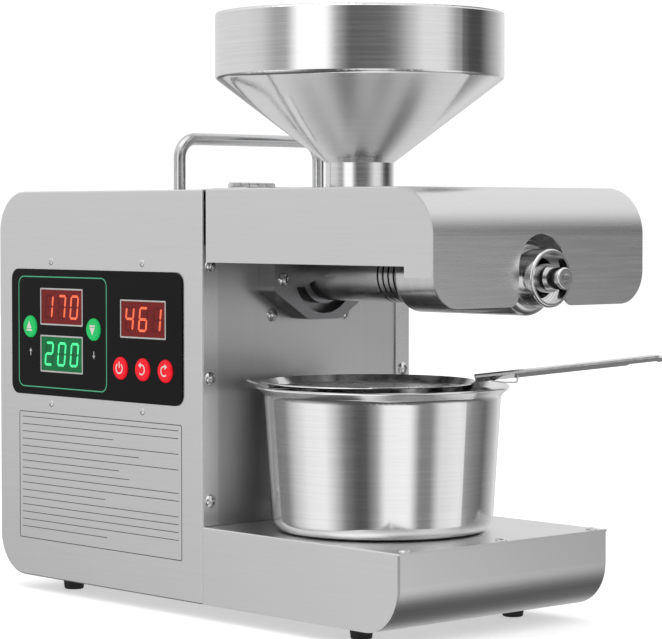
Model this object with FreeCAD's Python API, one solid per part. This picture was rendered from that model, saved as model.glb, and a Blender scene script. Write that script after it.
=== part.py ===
import FreeCAD, Part
import math
import os

# Electric screw oil press: a geared motor in the rear casing turns a press screw in a heated barrel.
# Frame: origin at the middle of the base's steel underside, +X to the outlet, +Z up, controls on -Y.

V = FreeCAD.Vector
X_AXIS = V(1, 0, 0)
Y_AXIS = V(0, 1, 0)
Z_AXIS = V(0, 0, 1)

# ---- general ----
sheet = 1.2
face_gap = 0.3
running_fit = 0.05
edge_round = 1.0

# ---- rear casing and tray ----
case_length = 206.0
case_width = 170.0
case_height = 246.0
case_corner_r = 26.0
tray_length = 167.5
tray_height = 46.2
tray_front_r = 27.0
tray_lip = 14.0
panel_flange = 12.0
flange_step = 33.0
bulkhead_t = 1.5
foot_r = 7.4
foot_taper = 1.2
foot_height = 9.0
foot_inset_y = 23.0
front_foot_back = 54.5
rear_foot_back = 158.0
screw_head_r = 4.1
screw_head_h = 2.0
flange_screw_low = 15.0
flange_screw_mid = 79.0
flange_screw_top = 12.0
tray_head_r = 3.4
tray_head_h = 1.6
tray_screw_inset = 9.0
tray_screw_back = 4.7

seam_x = (case_length - tray_length) / 2
rear_x = seam_x - case_length
tray_front_x = seam_x + tray_length
half_width = case_width / 2
flange_top = case_height - flange_step
inner_half = half_width - sheet
bulkhead_front_x = seam_x - sheet
bulkhead_back_x = bulkhead_front_x - bulkhead_t

# ---- press line: one axis along +X ----
axis_z = 195.8
feed_back = 44.8
feed_x = seam_x + feed_back
screw_r = 11.2
screw_bore_gap = 0.3
barrel_wall = 4.9
barrel_length = 188.0
slit_start = 77.0
slit_pitch = 4.5
slit_width = 1.4
slit_count = 4
slit_rib = 3.0
heater_start = 95.0
heater_front_gap = 2.0
heater_wall = 5.0
heater_end_r = 4.0
outlet_length = 13.4
outlet_lip = 2.2
nose_reach = 10.3
nose_r = 6.2
flange_t = 15.0
flange_half_width = 40.5
flange_top_r = 6.0
flange_shoulder_r = 5.0
lobe_r = 9.0
flange_drop = 10.5
flange_pocket = 8.0
barrel_seat = 5.0
shaft_end = -30.0
screw_start = 12.0
tang_r = 6.0
probe_r = 2.5
probe_hex_h = 4.0
probe_length = 8.0
probe_end_gap = 1.0
probe_back = 20.0
flange_rise = 30.0
lobe_half_width = 13.0
lobe_drop = 28.0
bulkhead_screw_y = 29.5
bulkhead_screw_drop = 25.2
bolt_head_r = 4.2
bolt_head_h = 2.2
bolt_inset = 7.0
feed_hole_r = 9.5
feed_boss_r = 15.0
feed_boss_rise = 18.5
funnel_depth = 4.0
screw_root_r = 6.5
flight_t = 2.6
flight_pitch = 15.0
flight_start = 22.0
flight_front_gap = 16.0

bore_r = screw_r + screw_bore_gap
barrel_r = bore_r + barrel_wall
heater_r = barrel_r + heater_wall
feed_boss_top = axis_z + feed_boss_rise
outlet_x = seam_x + barrel_length
heater_length = barrel_length - heater_start - heater_front_gap
flange_front_x = bulkhead_front_x + flange_t
probe_x = seam_x + heater_start + probe_back

# ---- cover ----
cover_gap = 3.3
cover_past_barrel = 5.8
cover_step = 0.5
cover_side_height = 43.5
cover_tab_drop = 6.0
cover_tab_length = 22.5
nose_bend_r = 27.0
nose_height = 66.5
nose_corner_r = 19.0
notch_gap = 2.0
notch_rise = 24.7
notch_flare_r = 7.0

cover_rear_x = seam_x + cover_gap
cover_front_x = outlet_x + cover_past_barrel
cover_top = case_height + cover_step
cover_side_z = cover_top - cover_side_height
cover_tab_z = cover_side_z - cover_tab_drop
nose_bottom_z = cover_top - nose_height
notch_half = barrel_r + notch_gap
notch_top_z = axis_z + notch_rise

# ---- hinges on top of the seam ----
hinge_length = 34.0
hinge_offset_y = 48.0
hinge_leaf = 13.0
hinge_leaf_t = 1.0
knuckle_r = 2.1
knuckle_count = 5
knuckle_gap = 0.4
pin_r = 1.0
hinge_x = seam_x + cover_gap / 2
hinge_z = cover_top + math.sqrt((knuckle_r + face_gap) ** 2 - (cover_gap / 2) ** 2)

# ---- hopper ----
hopper_wall = 1.0
hopper_r = 86.3
hopper_rim_r = 2.15
hopper_band = 38.7
hopper_cone = 48.0
hopper_seam_r = 3.0
hopper_neck_r = 22.9
hopper_neck_rise = 17.5
hopper_neck_h = 2.0
hopper_tube_r = 20.5
hopper_tube_gap = 2.9
socket_wall = 2.0
socket_lip = 1.6
socket_flange = 5.0

hopper_tube_z = feed_boss_top + hopper_tube_gap
hopper_neck_z = cover_top + hopper_neck_rise
hopper_seam_z = hopper_neck_z + hopper_cone
hopper_rim_z = hopper_seam_z + hopper_band

# ---- carrying handle ----
grip_r = 3.7
grip_half_span = 57.0
grip_back = 55.5
grip_rise = 31.6
grip_bend_r = 12.0
grip_nut_r = 6.5
grip_nut_h = 4.0

grip_z = case_height + grip_rise

# ---- oil pot and strainer ----
pot_back = 80.0
pot_shift_y = -14.5
pot_wall = 1.0
pot_bottom_r = 64.6
pot_top_r = 69.6
pot_corner_r = 8.0
pot_rim_r = 76.8
pot_height = 84.8
pot_lip_h = 5.0
pot_lip_r = 4.0
pot_bead_r = 1.2
strainer_turn = 47.7
strainer_offset = 7.2
strainer_rim_r = 62.3
strainer_rise = 1.4
strainer_floor_r = 59.0
strainer_depth = 5.0
strainer_wall = 0.8
mesh_r = 54.0
mesh_t = 0.6
mesh_hole_r = 3.2
mesh_rings = 4
spoon_length = 113.0
spoon_width = 15.0
spoon_fold = 3.2
spoon_t = 1.2
spoon_rise = 6.3
spoon_slot = 14.0
spoon_slot_r = 2.0
spoon_crease_r = 1.0
hook_length = 12.0
hook_width = 6.0
tab_slope = 20.0
tab_inside = 8.0
tab_outside = 4.0

# ---- gear train and motor ----
gear_module_low = 1.25
output_teeth = 56
lay_pinion_teeth = 14
gear_module_high = 1.0
lay_gear_teeth = 60
rotor_teeth = 12
output_gear_w = 14.0
lay_gear_w = 10.0
pressure_angle = math.radians(20)
tooth_backlash = 0.10
gearbox_wall = 4.0
gearbox_r = 42.0
gearbox_depth = 56.0
gearbox_cover_t = 6.0
gearbox_low_rise = 18.0
gear_end_gap = 4.5
output_shaft_r = 9.0
lay_shaft_r = 5.0
rotor_shaft_r = 4.0
bearing_wall = 4.0
bearing_w = 6.0
motor_r = 41.0
motor_length = 88.0
motor_shell = 3.0
motor_edge_r = 5.0
rotor_r = 27.0
fan_r = 36.0
fan_blades = 7
fan_w = 10.0
capacitor_r = 17.0
capacitor_length = 60.0

pot_x = seam_x + pot_back
pot_rim_z = tray_height + pot_height
pot_bead_top = pot_rim_z + pot_bead_r
strainer_rim_z = pot_bead_top + strainer_rise
strainer_x = pot_x - strainer_offset * math.cos(math.radians(strainer_turn))
strainer_y = pot_shift_y - strainer_offset * math.sin(math.radians(strainer_turn))
lay_z = axis_z - gear_module_low * (output_teeth + lay_pinion_teeth) / 2
rotor_z = lay_z - gear_module_high * (lay_gear_teeth + rotor_teeth) / 2
gearbox_back_x = bulkhead_back_x - gearbox_depth
gearbox_low_z = rotor_z + gearbox_low_rise
output_gear_x = bulkhead_back_x - gearbox_cover_t - gear_end_gap - output_gear_w
lay_gear_x = output_gear_x - gear_end_gap - lay_gear_w
motor_back_x = gearbox_back_x - motor_length

# ---- control panel, on the -Y side ----
fascia_length = 173.0
fascia_height = 80.0
fascia_t = 1.0
fascia_r = 7.0
fascia_back = 104.9
fascia_drop = 89.3
display_length = 43.0
display_height = 22.0
window_gap = 0.2
window_edge = 7.0
button_r = 6.9
button_gap = 0.35
button_travel = 1.0
button_proud = 1.2
button_stem = 5.0
button_edge_r = 0.8
stem_r = 2.3
board_t = 1.6
board_gap = 12.0
board_margin = 8.0
switch_h = 3.0
post_r = 2.5
small_head_r = 2.2
small_head_h = 0.6

board_y = -inner_half + board_gap

fascia_x = seam_x - fascia_back
fascia_z = case_height - fascia_drop

# Places on the control panel, from the fascia's centre.
displays = {
    "display_current_temperature": (-33.3, 16.4),
    "display_set_temperature": (-33.3, -13.4),
    "display_countdown": (49.3, 11.0),
}
buttons = {
    "button_temperature_up": (-66.1, 3.3),
    "button_temperature_down": (0.3, 3.3),
    "button_power": (27.4, -19.5),
    "button_run": (49.3, -19.5),
    "button_clear": (71.2, -19.5),
}
panel_screw_places = [(-45.6, 44.9), (47.3, 44.9), (-45.6, -45.1), (47.3, -45.1)]

# ---- rear fittings ----
vent_rows = 9
vent_pitch = 8.0
vent_height = 3.0
vent_length = 46.0
vent_drop = 46.0
inlet_y = -38.0
inlet_z = 62.0
inlet_width = 48.0
inlet_height = 28.0
inlet_t = 2.5
inlet_depth = 22.0
rocker_length = 20.0
rocker_width = 13.0
rocker_tilt = 10.0
rocker_offset = 60.0
rocker_frame_edge = 3.5
rocker_frame_wall = 1.2
rocker_room = 1.0
rocker_pin_r = 1.5
rocker_pin_reach = 0.8
rocker_face = 1.0
rocker_keel = 6.0
inlet_margin = 4.0
inlet_corner_r = 4.0
socket_width = 26.0
socket_height = 17.0
socket_floor = 5.0

rocker_y = inlet_y + rocker_offset
rocker_bay_half_w = rocker_width / 2 + face_gap
rocker_bay_half_h = rocker_length / 2 + rocker_room
rocker_body_half_w = rocker_bay_half_w + rocker_frame_wall
rocker_body_half_h = rocker_bay_half_h + rocker_frame_wall
vent_top_z = case_height - vent_drop


def box(x0, x1, y0, y1, z0, z1):
    return Part.makeBox(x1 - x0, y1 - y0, z1 - z0, V(x0, y0, z0))


def cyl(radius, length, start, direction):
    return Part.makeCylinder(radius, length, start, direction)


def ring(outer, inner, length, start, direction):
    return cyl(outer, length, start, direction).cut(cyl(inner, length, start, direction))


def union(shapes):
    whole = shapes[0]
    for shape in shapes[1:]:
        whole = whole.fuse(shape)
    return whole.removeSplitter()


def group(shapes):
    return Part.makeCompound(shapes)


def save(node, shape):
    shape.exportStep("parts/" + node + ".step")


def offset_path(points, distance):
    """The same open path, moved to its left by a distance, with mitred corners."""
    sides = []
    for (u0, v0), (u1, v1) in zip(points, points[1:]):
        length = math.hypot(u1 - u0, v1 - v0)
        sides.append((-(v1 - v0) / length, (u1 - u0) / length))
    moved = []
    for index, (u, v) in enumerate(points):
        a = sides[max(index - 1, 0)]
        b = sides[min(index, len(sides) - 1)]
        scale = distance / (1 + a[0] * b[0] + a[1] * b[1])
        moved.append((u + scale * (a[0] + b[0]), v + scale * (a[1] + b[1])))
    return moved


def outline(points, radii, place):
    """A closed wire through flat points, with each corner rounded by its own radius."""
    count = len(points)
    starts = []
    ends = []
    middles = []
    for index, (u, v) in enumerate(points):
        corner = V(u, v, 0)
        before = V(*points[index - 1], 0).sub(corner).normalize()
        after = V(*points[(index + 1) % count], 0).sub(corner).normalize()
        half = before.getAngle(after) / 2
        reach = radii[index] / math.tan(half)
        bisector = before.add(after)
        starts.append(corner.add(before * reach))
        ends.append(corner.add(after * reach))
        if radii[index] > 0:
            bisector.normalize()
            middles.append(corner.add(bisector * (radii[index] / math.sin(half) - radii[index])))
        else:
            middles.append(corner)
    edges = []
    for index in range(count):
        if radii[index] > 0:
            edges.append(Part.Arc(place(starts[index]), place(middles[index]), place(ends[index])).toShape())
        following = (index + 1) % count
        if ends[index].distanceToPoint(starts[following]) > 1e-6:
            edges.append(Part.makeLine(place(ends[index]), place(starts[following])))
    return Part.Wire(edges)


def side_view(point):
    return V(point.x, 0, point.y)


def front_view(point):
    return V(0, point.x, point.y)


def plate(points, radii, place, start, depth):
    """A flat plate of rounded outline: side views run along Y, front views along X."""
    direction = Y_AXIS if place is side_view else X_AXIS
    face = Part.Face(outline(points, radii, place))
    face.translate(direction * start)
    return face.extrude(direction * depth)


def strip(path, radii, thickness):
    """The closed corner points and radii of a bent sheet; the path is its outer side."""
    inner = offset_path(path, thickness)
    inner_radii = []
    for index, radius in enumerate(radii):
        if radius > 0:
            radius -= thickness * turn_sign(path[index - 1], path[index], path[index + 1])
        inner_radii.append(radius)
    return path + inner[::-1], radii + inner_radii[::-1]


def turn_sign(before, corner, after):
    """1 where an open path turns left at a corner and -1 where it turns right."""
    u0, v0 = corner[0] - before[0], corner[1] - before[1]
    u1, v1 = after[0] - corner[0], after[1] - corner[1]
    return math.copysign(1, u0 * v1 - v0 * u1)


def bent_sheet(path, radii, thickness, y0, y1):
    points, corners = strip(path, radii, thickness)
    return plate(points, corners, side_view, y0, y1 - y0)


def revolved(path, radii, thickness, x, y, bead=None):
    """A spun wall: the path is its outer side in radius and height, and a bead is a rolled edge on it."""
    points, corners = strip(path, radii, thickness)
    face = Part.Face(outline(points, corners, side_view))
    if bead:
        radius, height, roll_r = bead
        roll = Part.Face(Part.Wire([Part.makeCircle(roll_r, V(radius, 0, height), Y_AXIS)]))
        face = face.fuse(roll).removeSplitter().Faces[0]
    body = face.revolve(V(0, 0, 0), Z_AXIS, 360)
    body.translate(V(x, y, 0))
    return body


def involute(radius, base):
    angle = math.acos(min(base / radius, 1.0))
    return math.tan(angle) - angle


def spur_gear(teeth, module, width, hub_bore, flank_points, turn, x, z):
    """A spur gear on an axis along X, with involute flanks through a few points each."""
    pitch_r = module * teeth / 2
    base_r = pitch_r * math.cos(pressure_angle)
    root_r = pitch_r - 1.25 * module
    tip_r = pitch_r + 0.9 * module
    half_pitch = math.pi / (2 * teeth) - tooth_backlash / (2 * pitch_r)
    low_r = max(base_r, root_r)
    points = []
    for tooth in range(teeth):
        centre = 2 * math.pi * tooth / teeth + turn
        flank = []
        for step in range(flank_points):
            radius = low_r + (tip_r - low_r) * step / (flank_points - 1)
            half = half_pitch + involute(pitch_r, base_r) - involute(radius, base_r)
            flank.append((radius, half))
        if root_r < base_r:
            flank.insert(0, (root_r, flank[0][1]))
        for radius, half in flank:
            points.append((radius * math.cos(centre - half), radius * math.sin(centre - half)))
        for radius, half in reversed(flank):
            points.append((radius * math.cos(centre + half), radius * math.sin(centre + half)))
    corners = [V(x, u, z + v) for u, v in points]
    face = Part.Face(Part.makePolygon(corners + corners[:1]))
    gear = face.extrude(X_AXIS * width)
    return gear.cut(cyl(hub_bore, width, V(x, 0, z), X_AXIS))


def meshing_turn(teeth_above, teeth_below):
    """Turn of the lower gear that puts one of its gaps where a tooth of the upper gear points down."""
    phase = 0.75 * teeth_above % 1
    return math.pi / 2 + (0.5 + phase) * 2 * math.pi / teeth_below


def pan_head(place, direction, radius, height):
    """A round screw head with a sloping rim, seated at a place."""
    base = cyl(radius, height / 2, place, direction)
    middle = place.add(direction * (height / 2))
    return base.fuse(Part.makeCone(radius, radius * 0.7, height / 2, middle, direction))


# ---- casing sheets ----
def casing_profile(inset):
    points = [
        (seam_x, inset),
        (rear_x + inset, inset),
        (rear_x + inset, case_height - inset),
        (seam_x, case_height - inset),
    ]
    return points, [0, case_corner_r - inset, case_corner_r - inset, 0]


def make_casing_wrap():
    points, radii = casing_profile(0)
    wrap = bent_sheet(points, radii, -sheet, -inner_half, inner_half)
    for row in range(vent_rows):
        z = vent_top_z - row * vent_pitch
        for side in (-1, 1):
            y = side * (vent_length / 2 + vent_pitch)
            half = vent_length / 2
            wrap = wrap.cut(box(rear_x - 1, rear_x + sheet + 1, y - half, y + half, z, z + vent_height))
    wrap = wrap.cut(rear_opening(inlet_y, inlet_width - 2 * inlet_margin, inlet_height - inlet_margin))
    return wrap.cut(rear_opening(rocker_y, 2 * rocker_body_half_w + face_gap, 2 * rocker_body_half_h + face_gap))


def rear_opening(y, width, height):
    z = inlet_z
    return box(rear_x - 1, rear_x + sheet + 1, y - width / 2, y + width / 2, z - height / 2, z + height / 2)


def make_side_panel(side):
    points, radii = casing_profile(0)
    outer = side * half_width
    panel = plate(points, radii, side_view, min(outer, outer - side * sheet), sheet)
    rims = [edge for edge in panel.Edges if abs(edge.CenterOfMass.y - outer) < 1e-6]
    panel = panel.makeFillet(edge_round, rims)
    inner = outer - side * panel_flange
    low, high = sorted((outer - side * edge_round, inner))
    fold = box(seam_x - sheet, seam_x, low, high, tray_height + face_gap, flange_top)
    return panel.fuse(fold).removeSplitter()


def make_control_side():
    panel = make_side_panel(-1)
    margin = 6.0
    for x, z in displays.values():
        length = display_length - margin
        panel = panel.cut(fascia_block(x, z, length, display_height - margin, -case_width / 2 - sheet, sheet - inner_half))
    for x, z in buttons.values():
        panel = panel.cut(cyl(button_r + button_gap, 4 * sheet, on_fascia(x, z, -half_width - sheet), Y_AXIS))
    return panel


def on_fascia(x, z, y):
    """A place given from the fascia's centre, at a depth of its own."""
    return V(fascia_x + x, y, fascia_z + z)


def fascia_block(x, z, length, height, y0, y1):
    place = on_fascia(x, z, y0)
    left = place.x - length / 2
    low = place.z - height / 2
    return box(left, left + length, y0, y1, low, low + height)


def make_bulkhead():
    notch = panel_flange - sheet
    points = [
        (-inner_half, sheet),
        (inner_half, sheet),
        (inner_half, flange_top),
        (inner_half - notch, flange_top),
        (inner_half - notch, case_height - sheet),
        (-inner_half + notch, case_height - sheet),
        (-inner_half + notch, flange_top),
        (-inner_half, flange_top),
    ]
    sheet_face = plate(points, [0] * 8, front_view, bulkhead_back_x, bulkhead_t)
    return sheet_face.cut(cyl(output_shaft_r + bearing_wall + 1, 10, V(bulkhead_back_x - 5, 0, axis_z), X_AXIS))


# ---- tray ----
def make_tray_hood():
    """Top and both sides of the tray, folded from one sheet."""
    top = box(seam_x, tray_front_x, -half_width, half_width, tray_height - sheet, tray_height)
    points = [(seam_x, 0), (tray_front_x - sheet, 0), (tray_front_x - sheet, tray_height), (seam_x, tray_height)]
    radii = [0, tray_front_r - sheet, 0, 0]
    sides = []
    for side in (-1, 1):
        outer = side * half_width
        sides.append(plate(points, radii, side_view, min(outer, outer - side * sheet), sheet))
    hood = union([top] + sides)
    folds = [edge for edge in hood.Edges if is_top_fold(edge, tray_height)]
    return hood.makeFillet(edge_round, folds)


def is_top_fold(edge, height):
    box_of = edge.BoundBox
    long_enough = box_of.XLength > 10 and box_of.YLength < 1e-6 and box_of.ZLength < 1e-6
    return long_enough and abs(box_of.ZMax - height) < 1e-6 and abs(abs(box_of.YMax) - half_width) < 1e-6


def make_tray_front():
    """Front and bottom of the tray, one sheet rolled round the lower front edge."""
    lip_z = tray_height - sheet
    path = [
        (tray_front_x - tray_lip, lip_z),
        (tray_front_x, lip_z),
        (tray_front_x, 0),
        (seam_x, 0),
    ]
    radii = [0, 0, tray_front_r, 0]
    return bent_sheet(path, radii, -sheet, -inner_half, inner_half)


def make_feet():
    feet = []
    for x in (tray_front_x - front_foot_back, seam_x - rear_foot_back):
        for side in (-1, 1):
            y = side * (half_width - foot_inset_y)
            feet.append(Part.makeCone(foot_r - foot_taper, foot_r, foot_height, V(x, y, -foot_height), Z_AXIS))
    return group(feet)


def make_tray_screws():
    heads = []
    x = tray_front_x - tray_screw_back
    for y in (tray_screw_inset - half_width, 0, half_width - tray_screw_inset):
        heads.append(pan_head(V(x, y, tray_height), Z_AXIS, tray_head_r, tray_head_h))
    return group(heads)


def make_flange_screws():
    """Screws that hold the side panels' front flanges to the bulkhead."""
    y = half_width - panel_flange / 2
    heads = []
    for side in (-1, 1):
        for z in (tray_height + flange_screw_low, flange_top - flange_screw_mid, flange_top - flange_screw_top):
            heads.append(pan_head(V(seam_x, side * y, z), X_AXIS, screw_head_r, screw_head_h))
    return group(heads)


def make_bulkhead_screws():
    heads = []
    for side in (-1, 1):
        place = V(bulkhead_front_x, side * bulkhead_screw_y, axis_z - bulkhead_screw_drop)
        heads.append(pan_head(place, X_AXIS, screw_head_r, screw_head_h))
    return group(heads)


# ---- cover ----
def cover_side_points():
    front = cover_front_x - sheet
    tab_x = cover_front_x - cover_tab_length
    points = [
        (cover_rear_x, cover_side_z),
        (tab_x, cover_side_z),
        (tab_x, cover_tab_z),
        (front, cover_tab_z),
        (front, cover_top - sheet),
        (cover_rear_x, cover_top - sheet),
    ]
    return points, [0, 0, 0, 0, nose_bend_r - sheet, 0]


def make_cover_hood():
    """Top and both sides of the cover, folded from one sheet, open below."""
    points, radii = cover_side_points()
    bend_x = cover_front_x - nose_bend_r
    solids = [box(cover_rear_x, bend_x, -half_width, half_width, cover_top - sheet, cover_top)]
    for side in (-1, 1):
        outer = side * half_width
        solids.append(plate(points, radii, side_view, min(outer, outer - side * sheet), sheet))
    hood = union(solids)
    folds = [edge for edge in hood.Edges if is_top_fold(edge, cover_top)]
    hood = hood.makeFillet(edge_round, folds)
    return hood.cut(cyl(hopper_tube_r + socket_wall + face_gap, 10, V(feed_x, 0, cover_top - 5), Z_AXIS))


def make_cover_nose():
    """Rolled nose sheet with rounded lower corners and an arched notch round the barrel."""
    bend_x = cover_front_x - nose_bend_r
    path = [(bend_x, cover_top), (cover_front_x, cover_top), (cover_front_x, nose_bottom_z)]
    nose = bent_sheet(path, [0, nose_bend_r, 0], -sheet, -half_width, half_width)
    tall = cover_top + 10
    silhouette = [
        (-half_width, nose_bottom_z),
        (-notch_half, nose_bottom_z),
        (-notch_half, notch_top_z),
        (notch_half, notch_top_z),
        (notch_half, nose_bottom_z),
        (half_width, nose_bottom_z),
        (half_width, tall),
        (-half_width, tall),
    ]
    radii = [nose_corner_r, notch_flare_r, notch_half, notch_half, notch_flare_r, nose_corner_r, 0, 0]
    return nose.common(plate(silhouette, radii, front_view, bend_x - sheet, nose_bend_r + 2 * sheet))


def make_hopper_socket():
    """Sleeve under the cover's top that holds the hopper's tube and has a seat at its foot."""
    outer = hopper_tube_r + socket_wall
    start = hopper_tube_z - face_gap - socket_lip
    sleeve = ring(outer, hopper_tube_r + face_gap, cover_top - start, V(feed_x, 0, start), Z_AXIS)
    lip = ring(outer, hopper_tube_r - 2 * hopper_wall, socket_lip, V(feed_x, 0, start), Z_AXIS)
    flange = ring(outer + socket_flange, outer, sheet, V(feed_x, 0, cover_top - 2 * sheet), Z_AXIS)
    return union([sleeve, lip, flange])


# ---- hinges ----
def knuckles(start_y, first):
    """Every second knuckle of one hinge, from the first or the second one on."""
    width = hinge_length / knuckle_count
    rolls = []
    for index in range(first, knuckle_count, 2):
        y = start_y + index * width + knuckle_gap / 2
        rolls.append(ring(knuckle_r, pin_r + running_fit, width - knuckle_gap, V(hinge_x, y, hinge_z), Y_AXIS))
    return rolls


def make_hinge_leaves(side_x, first, top):
    leaves = []
    width = hinge_length / knuckle_count
    for centre in (-hinge_offset_y, hinge_offset_y):
        start = centre - hinge_length / 2
        near = hinge_x + side_x * (knuckle_r + face_gap)
        far = near + side_x * hinge_leaf
        low, high = sorted((near, far))
        parts = knuckles(start, first)
        parts.append(box(low, high, start, start + hinge_length, top, top + hinge_leaf_t))
        for index in range(first, knuckle_count, 2):
            y = start + index * width + knuckle_gap / 2
            low, high = sorted((near, hinge_x + side_x * (pin_r + knuckle_r) / 2))
            parts.append(box(low, high, y, y + width - knuckle_gap, top, top + hinge_leaf_t))
        leaves.append(union(parts))
    return group(leaves)


def make_hinge_pins():
    pins = []
    for centre in (-hinge_offset_y, hinge_offset_y):
        pins.append(cyl(pin_r, hinge_length, V(hinge_x, centre - hinge_length / 2, hinge_z), Y_AXIS))
    return group(pins)


# ---- hopper ----
def make_hopper():
    """Cone and upright band, spun from one sheet, with a rolled rim."""
    path = [(hopper_neck_r, hopper_neck_z), (hopper_r, hopper_seam_z), (hopper_r, hopper_rim_z)]
    bead = (hopper_r + hopper_rim_r - hopper_wall / 2, hopper_rim_z, hopper_rim_r)
    return revolved(path, [0, hopper_seam_r, 0], hopper_wall, feed_x, 0, bead)


def make_hopper_tube():
    """Feed tube welded to the cone's small end."""
    tube_top = hopper_neck_z - hopper_neck_h
    path = [(hopper_tube_r, hopper_tube_z), (hopper_tube_r, tube_top), (hopper_neck_r, hopper_neck_z)]
    return revolved(path, [0, 0, 0], hopper_wall, feed_x, 0)


# ---- carrying handle ----
def make_carrying_handle():
    x = seam_x - grip_back
    low = case_height
    start = V(x, -grip_half_span, low)
    bend = grip_bend_r
    shrink = bend * (1 - math.cos(math.pi / 4))
    corner_a = V(x, -grip_half_span + shrink, grip_z - shrink)
    corner_b = V(x, grip_half_span - shrink, grip_z - shrink)
    points = [
        start,
        V(x, -grip_half_span, grip_z - bend),
        V(x, -grip_half_span + bend, grip_z),
        V(x, grip_half_span - bend, grip_z),
        V(x, grip_half_span, grip_z - bend),
        V(x, grip_half_span, low),
    ]
    path = Part.Wire([
        Part.makeLine(points[0], points[1]),
        Part.Arc(points[1], corner_a, points[2]).toShape(),
        Part.makeLine(points[2], points[3]),
        Part.Arc(points[3], corner_b, points[4]).toShape(),
        Part.makeLine(points[4], points[5]),
    ])
    section = Part.Wire([Part.makeCircle(grip_r, start, Z_AXIS)])
    return path.makePipeShell([section], True, False)


def make_handle_nuts():
    """Nuts inside the casing that hold the handle's two feet."""
    nuts = []
    for side in (-1, 1):
        place = V(seam_x - grip_back, side * grip_half_span, case_height - sheet - grip_nut_h)
        nuts.append(Part.Face(hexagon(place, grip_nut_r)).extrude(Z_AXIS * grip_nut_h))
    return group(nuts)


def hexagon(place, radius):
    corners = []
    for index in range(7):
        angle = math.pi * index / 3
        corners.append(place.add(V(radius * math.cos(angle), radius * math.sin(angle), 0)))
    return Part.makePolygon(corners)


# ---- oil pot ----
def make_pot():
    path = [
        (0, tray_height),
        (pot_bottom_r, tray_height),
        (pot_top_r, pot_rim_z - pot_lip_h),
        (pot_rim_r - pot_bead_r, pot_rim_z),
    ]
    bead = (pot_rim_r - pot_bead_r, pot_rim_z, pot_bead_r)
    return revolved(path, [0, pot_corner_r, pot_lip_r, 0], pot_wall, pot_x, pot_shift_y, bead)


# ---- strainer, built along +X from its own centre and then turned into place ----
def place_strainer(shape):
    shape.rotate(V(0, 0, 0), Z_AXIS, strainer_turn)
    shape.translate(V(strainer_x, strainer_y, 0))
    return shape


def make_strainer_bowl():
    floor_z = strainer_rim_z - strainer_depth
    path = [(mesh_r - 2, floor_z), (strainer_floor_r, floor_z), (strainer_rim_r, strainer_rim_z)]
    bead = (strainer_rim_r, strainer_rim_z, strainer_wall)
    return place_strainer(revolved(path, [0, 2, 0], strainer_wall, 0, 0, bead))


def make_strainer_mesh():
    z = strainer_rim_z - strainer_depth + strainer_wall
    disc = cyl(mesh_r, mesh_t, V(0, 0, z), Z_AXIS)
    holes = [cyl(mesh_hole_r, mesh_t, V(0, 0, z), Z_AXIS)]
    for row in range(1, mesh_rings + 1):
        radius = row * (mesh_r - 6) / mesh_rings
        for index in range(6 * row):
            angle = math.pi * index / (3 * row)
            place = V(radius * math.cos(angle), radius * math.sin(angle), z)
            holes.append(cyl(mesh_hole_r, mesh_t, place, Z_AXIS))
    return place_strainer(disc.cut(holes))


def make_strainer_handle():
    """Folded flat bar with a hanging slot, rising from the strainer's rim."""
    half = spoon_width / 2
    section = [
        (-half, 0),
        (0, -spoon_fold),
        (half, 0),
        (half, spoon_t),
        (0, spoon_t - spoon_fold),
        (-half, spoon_t),
    ]
    crease = spoon_crease_r
    bar = plate(section, [0, crease, 0, 0, crease, 0], front_view, 0, spoon_length)
    tip_x = spoon_length - half
    tall = 10 * spoon_t
    nose = cyl(half, 2 * tall, V(tip_x, 0, -tall), Z_AXIS)
    bar = bar.cut(box(tip_x, spoon_length, -half, half, -tall, tall).cut(nose))
    slot_x = tip_x - spoon_slot
    slot = box(slot_x, tip_x, -spoon_slot_r, spoon_slot_r, -tall, tall)
    for x in (slot_x, tip_x):
        slot = slot.fuse(cyl(spoon_slot_r, 2 * tall, V(x, 0, -tall), Z_AXIS))
    bar = bar.cut(slot)
    bar.rotate(V(0, 0, 0), Y_AXIS, -spoon_rise)
    bar.translate(V(strainer_rim_r - strainer_wall, 0, strainer_rim_z + spoon_fold - strainer_wall))
    return place_strainer(bar)


def make_strainer_hook():
    """Bent strip under the handle that rests on the pot's bead."""
    rest_z = pot_bead_top + face_gap
    bead_r = pot_rim_r - pot_bead_r + strainer_offset
    top_z = strainer_rim_z + spoon_fold
    path = [
        (bead_r - hook_length, top_z - spoon_fold),
        (bead_r - hook_length / 3, rest_z),
        (bead_r + hook_length / 3, rest_z),
        (bead_r + hook_length / 3, top_z),
    ]
    points, radii = strip(path, [0, 2, 2, 0], strainer_wall)
    return place_strainer(plate(points, radii, side_view, -hook_width / 2, hook_width))


def make_strainer_tab():
    """Flat tab opposite the handle; it slopes up from the strainer's wall over the pot's bead."""
    bead_r = pot_rim_r - pot_bead_r - strainer_offset
    rest_z = pot_bead_top + face_gap
    slope = math.tan(math.radians(tab_slope))
    start = bead_r - tab_inside
    end = bead_r + tab_outside
    path = [(-start, rest_z - tab_inside * slope), (-end, rest_z + tab_outside * slope)]
    points, radii = strip(path, [0, 0], -strainer_wall)
    return place_strainer(plate(points, radii, side_view, -hook_width / 2, hook_width))


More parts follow.
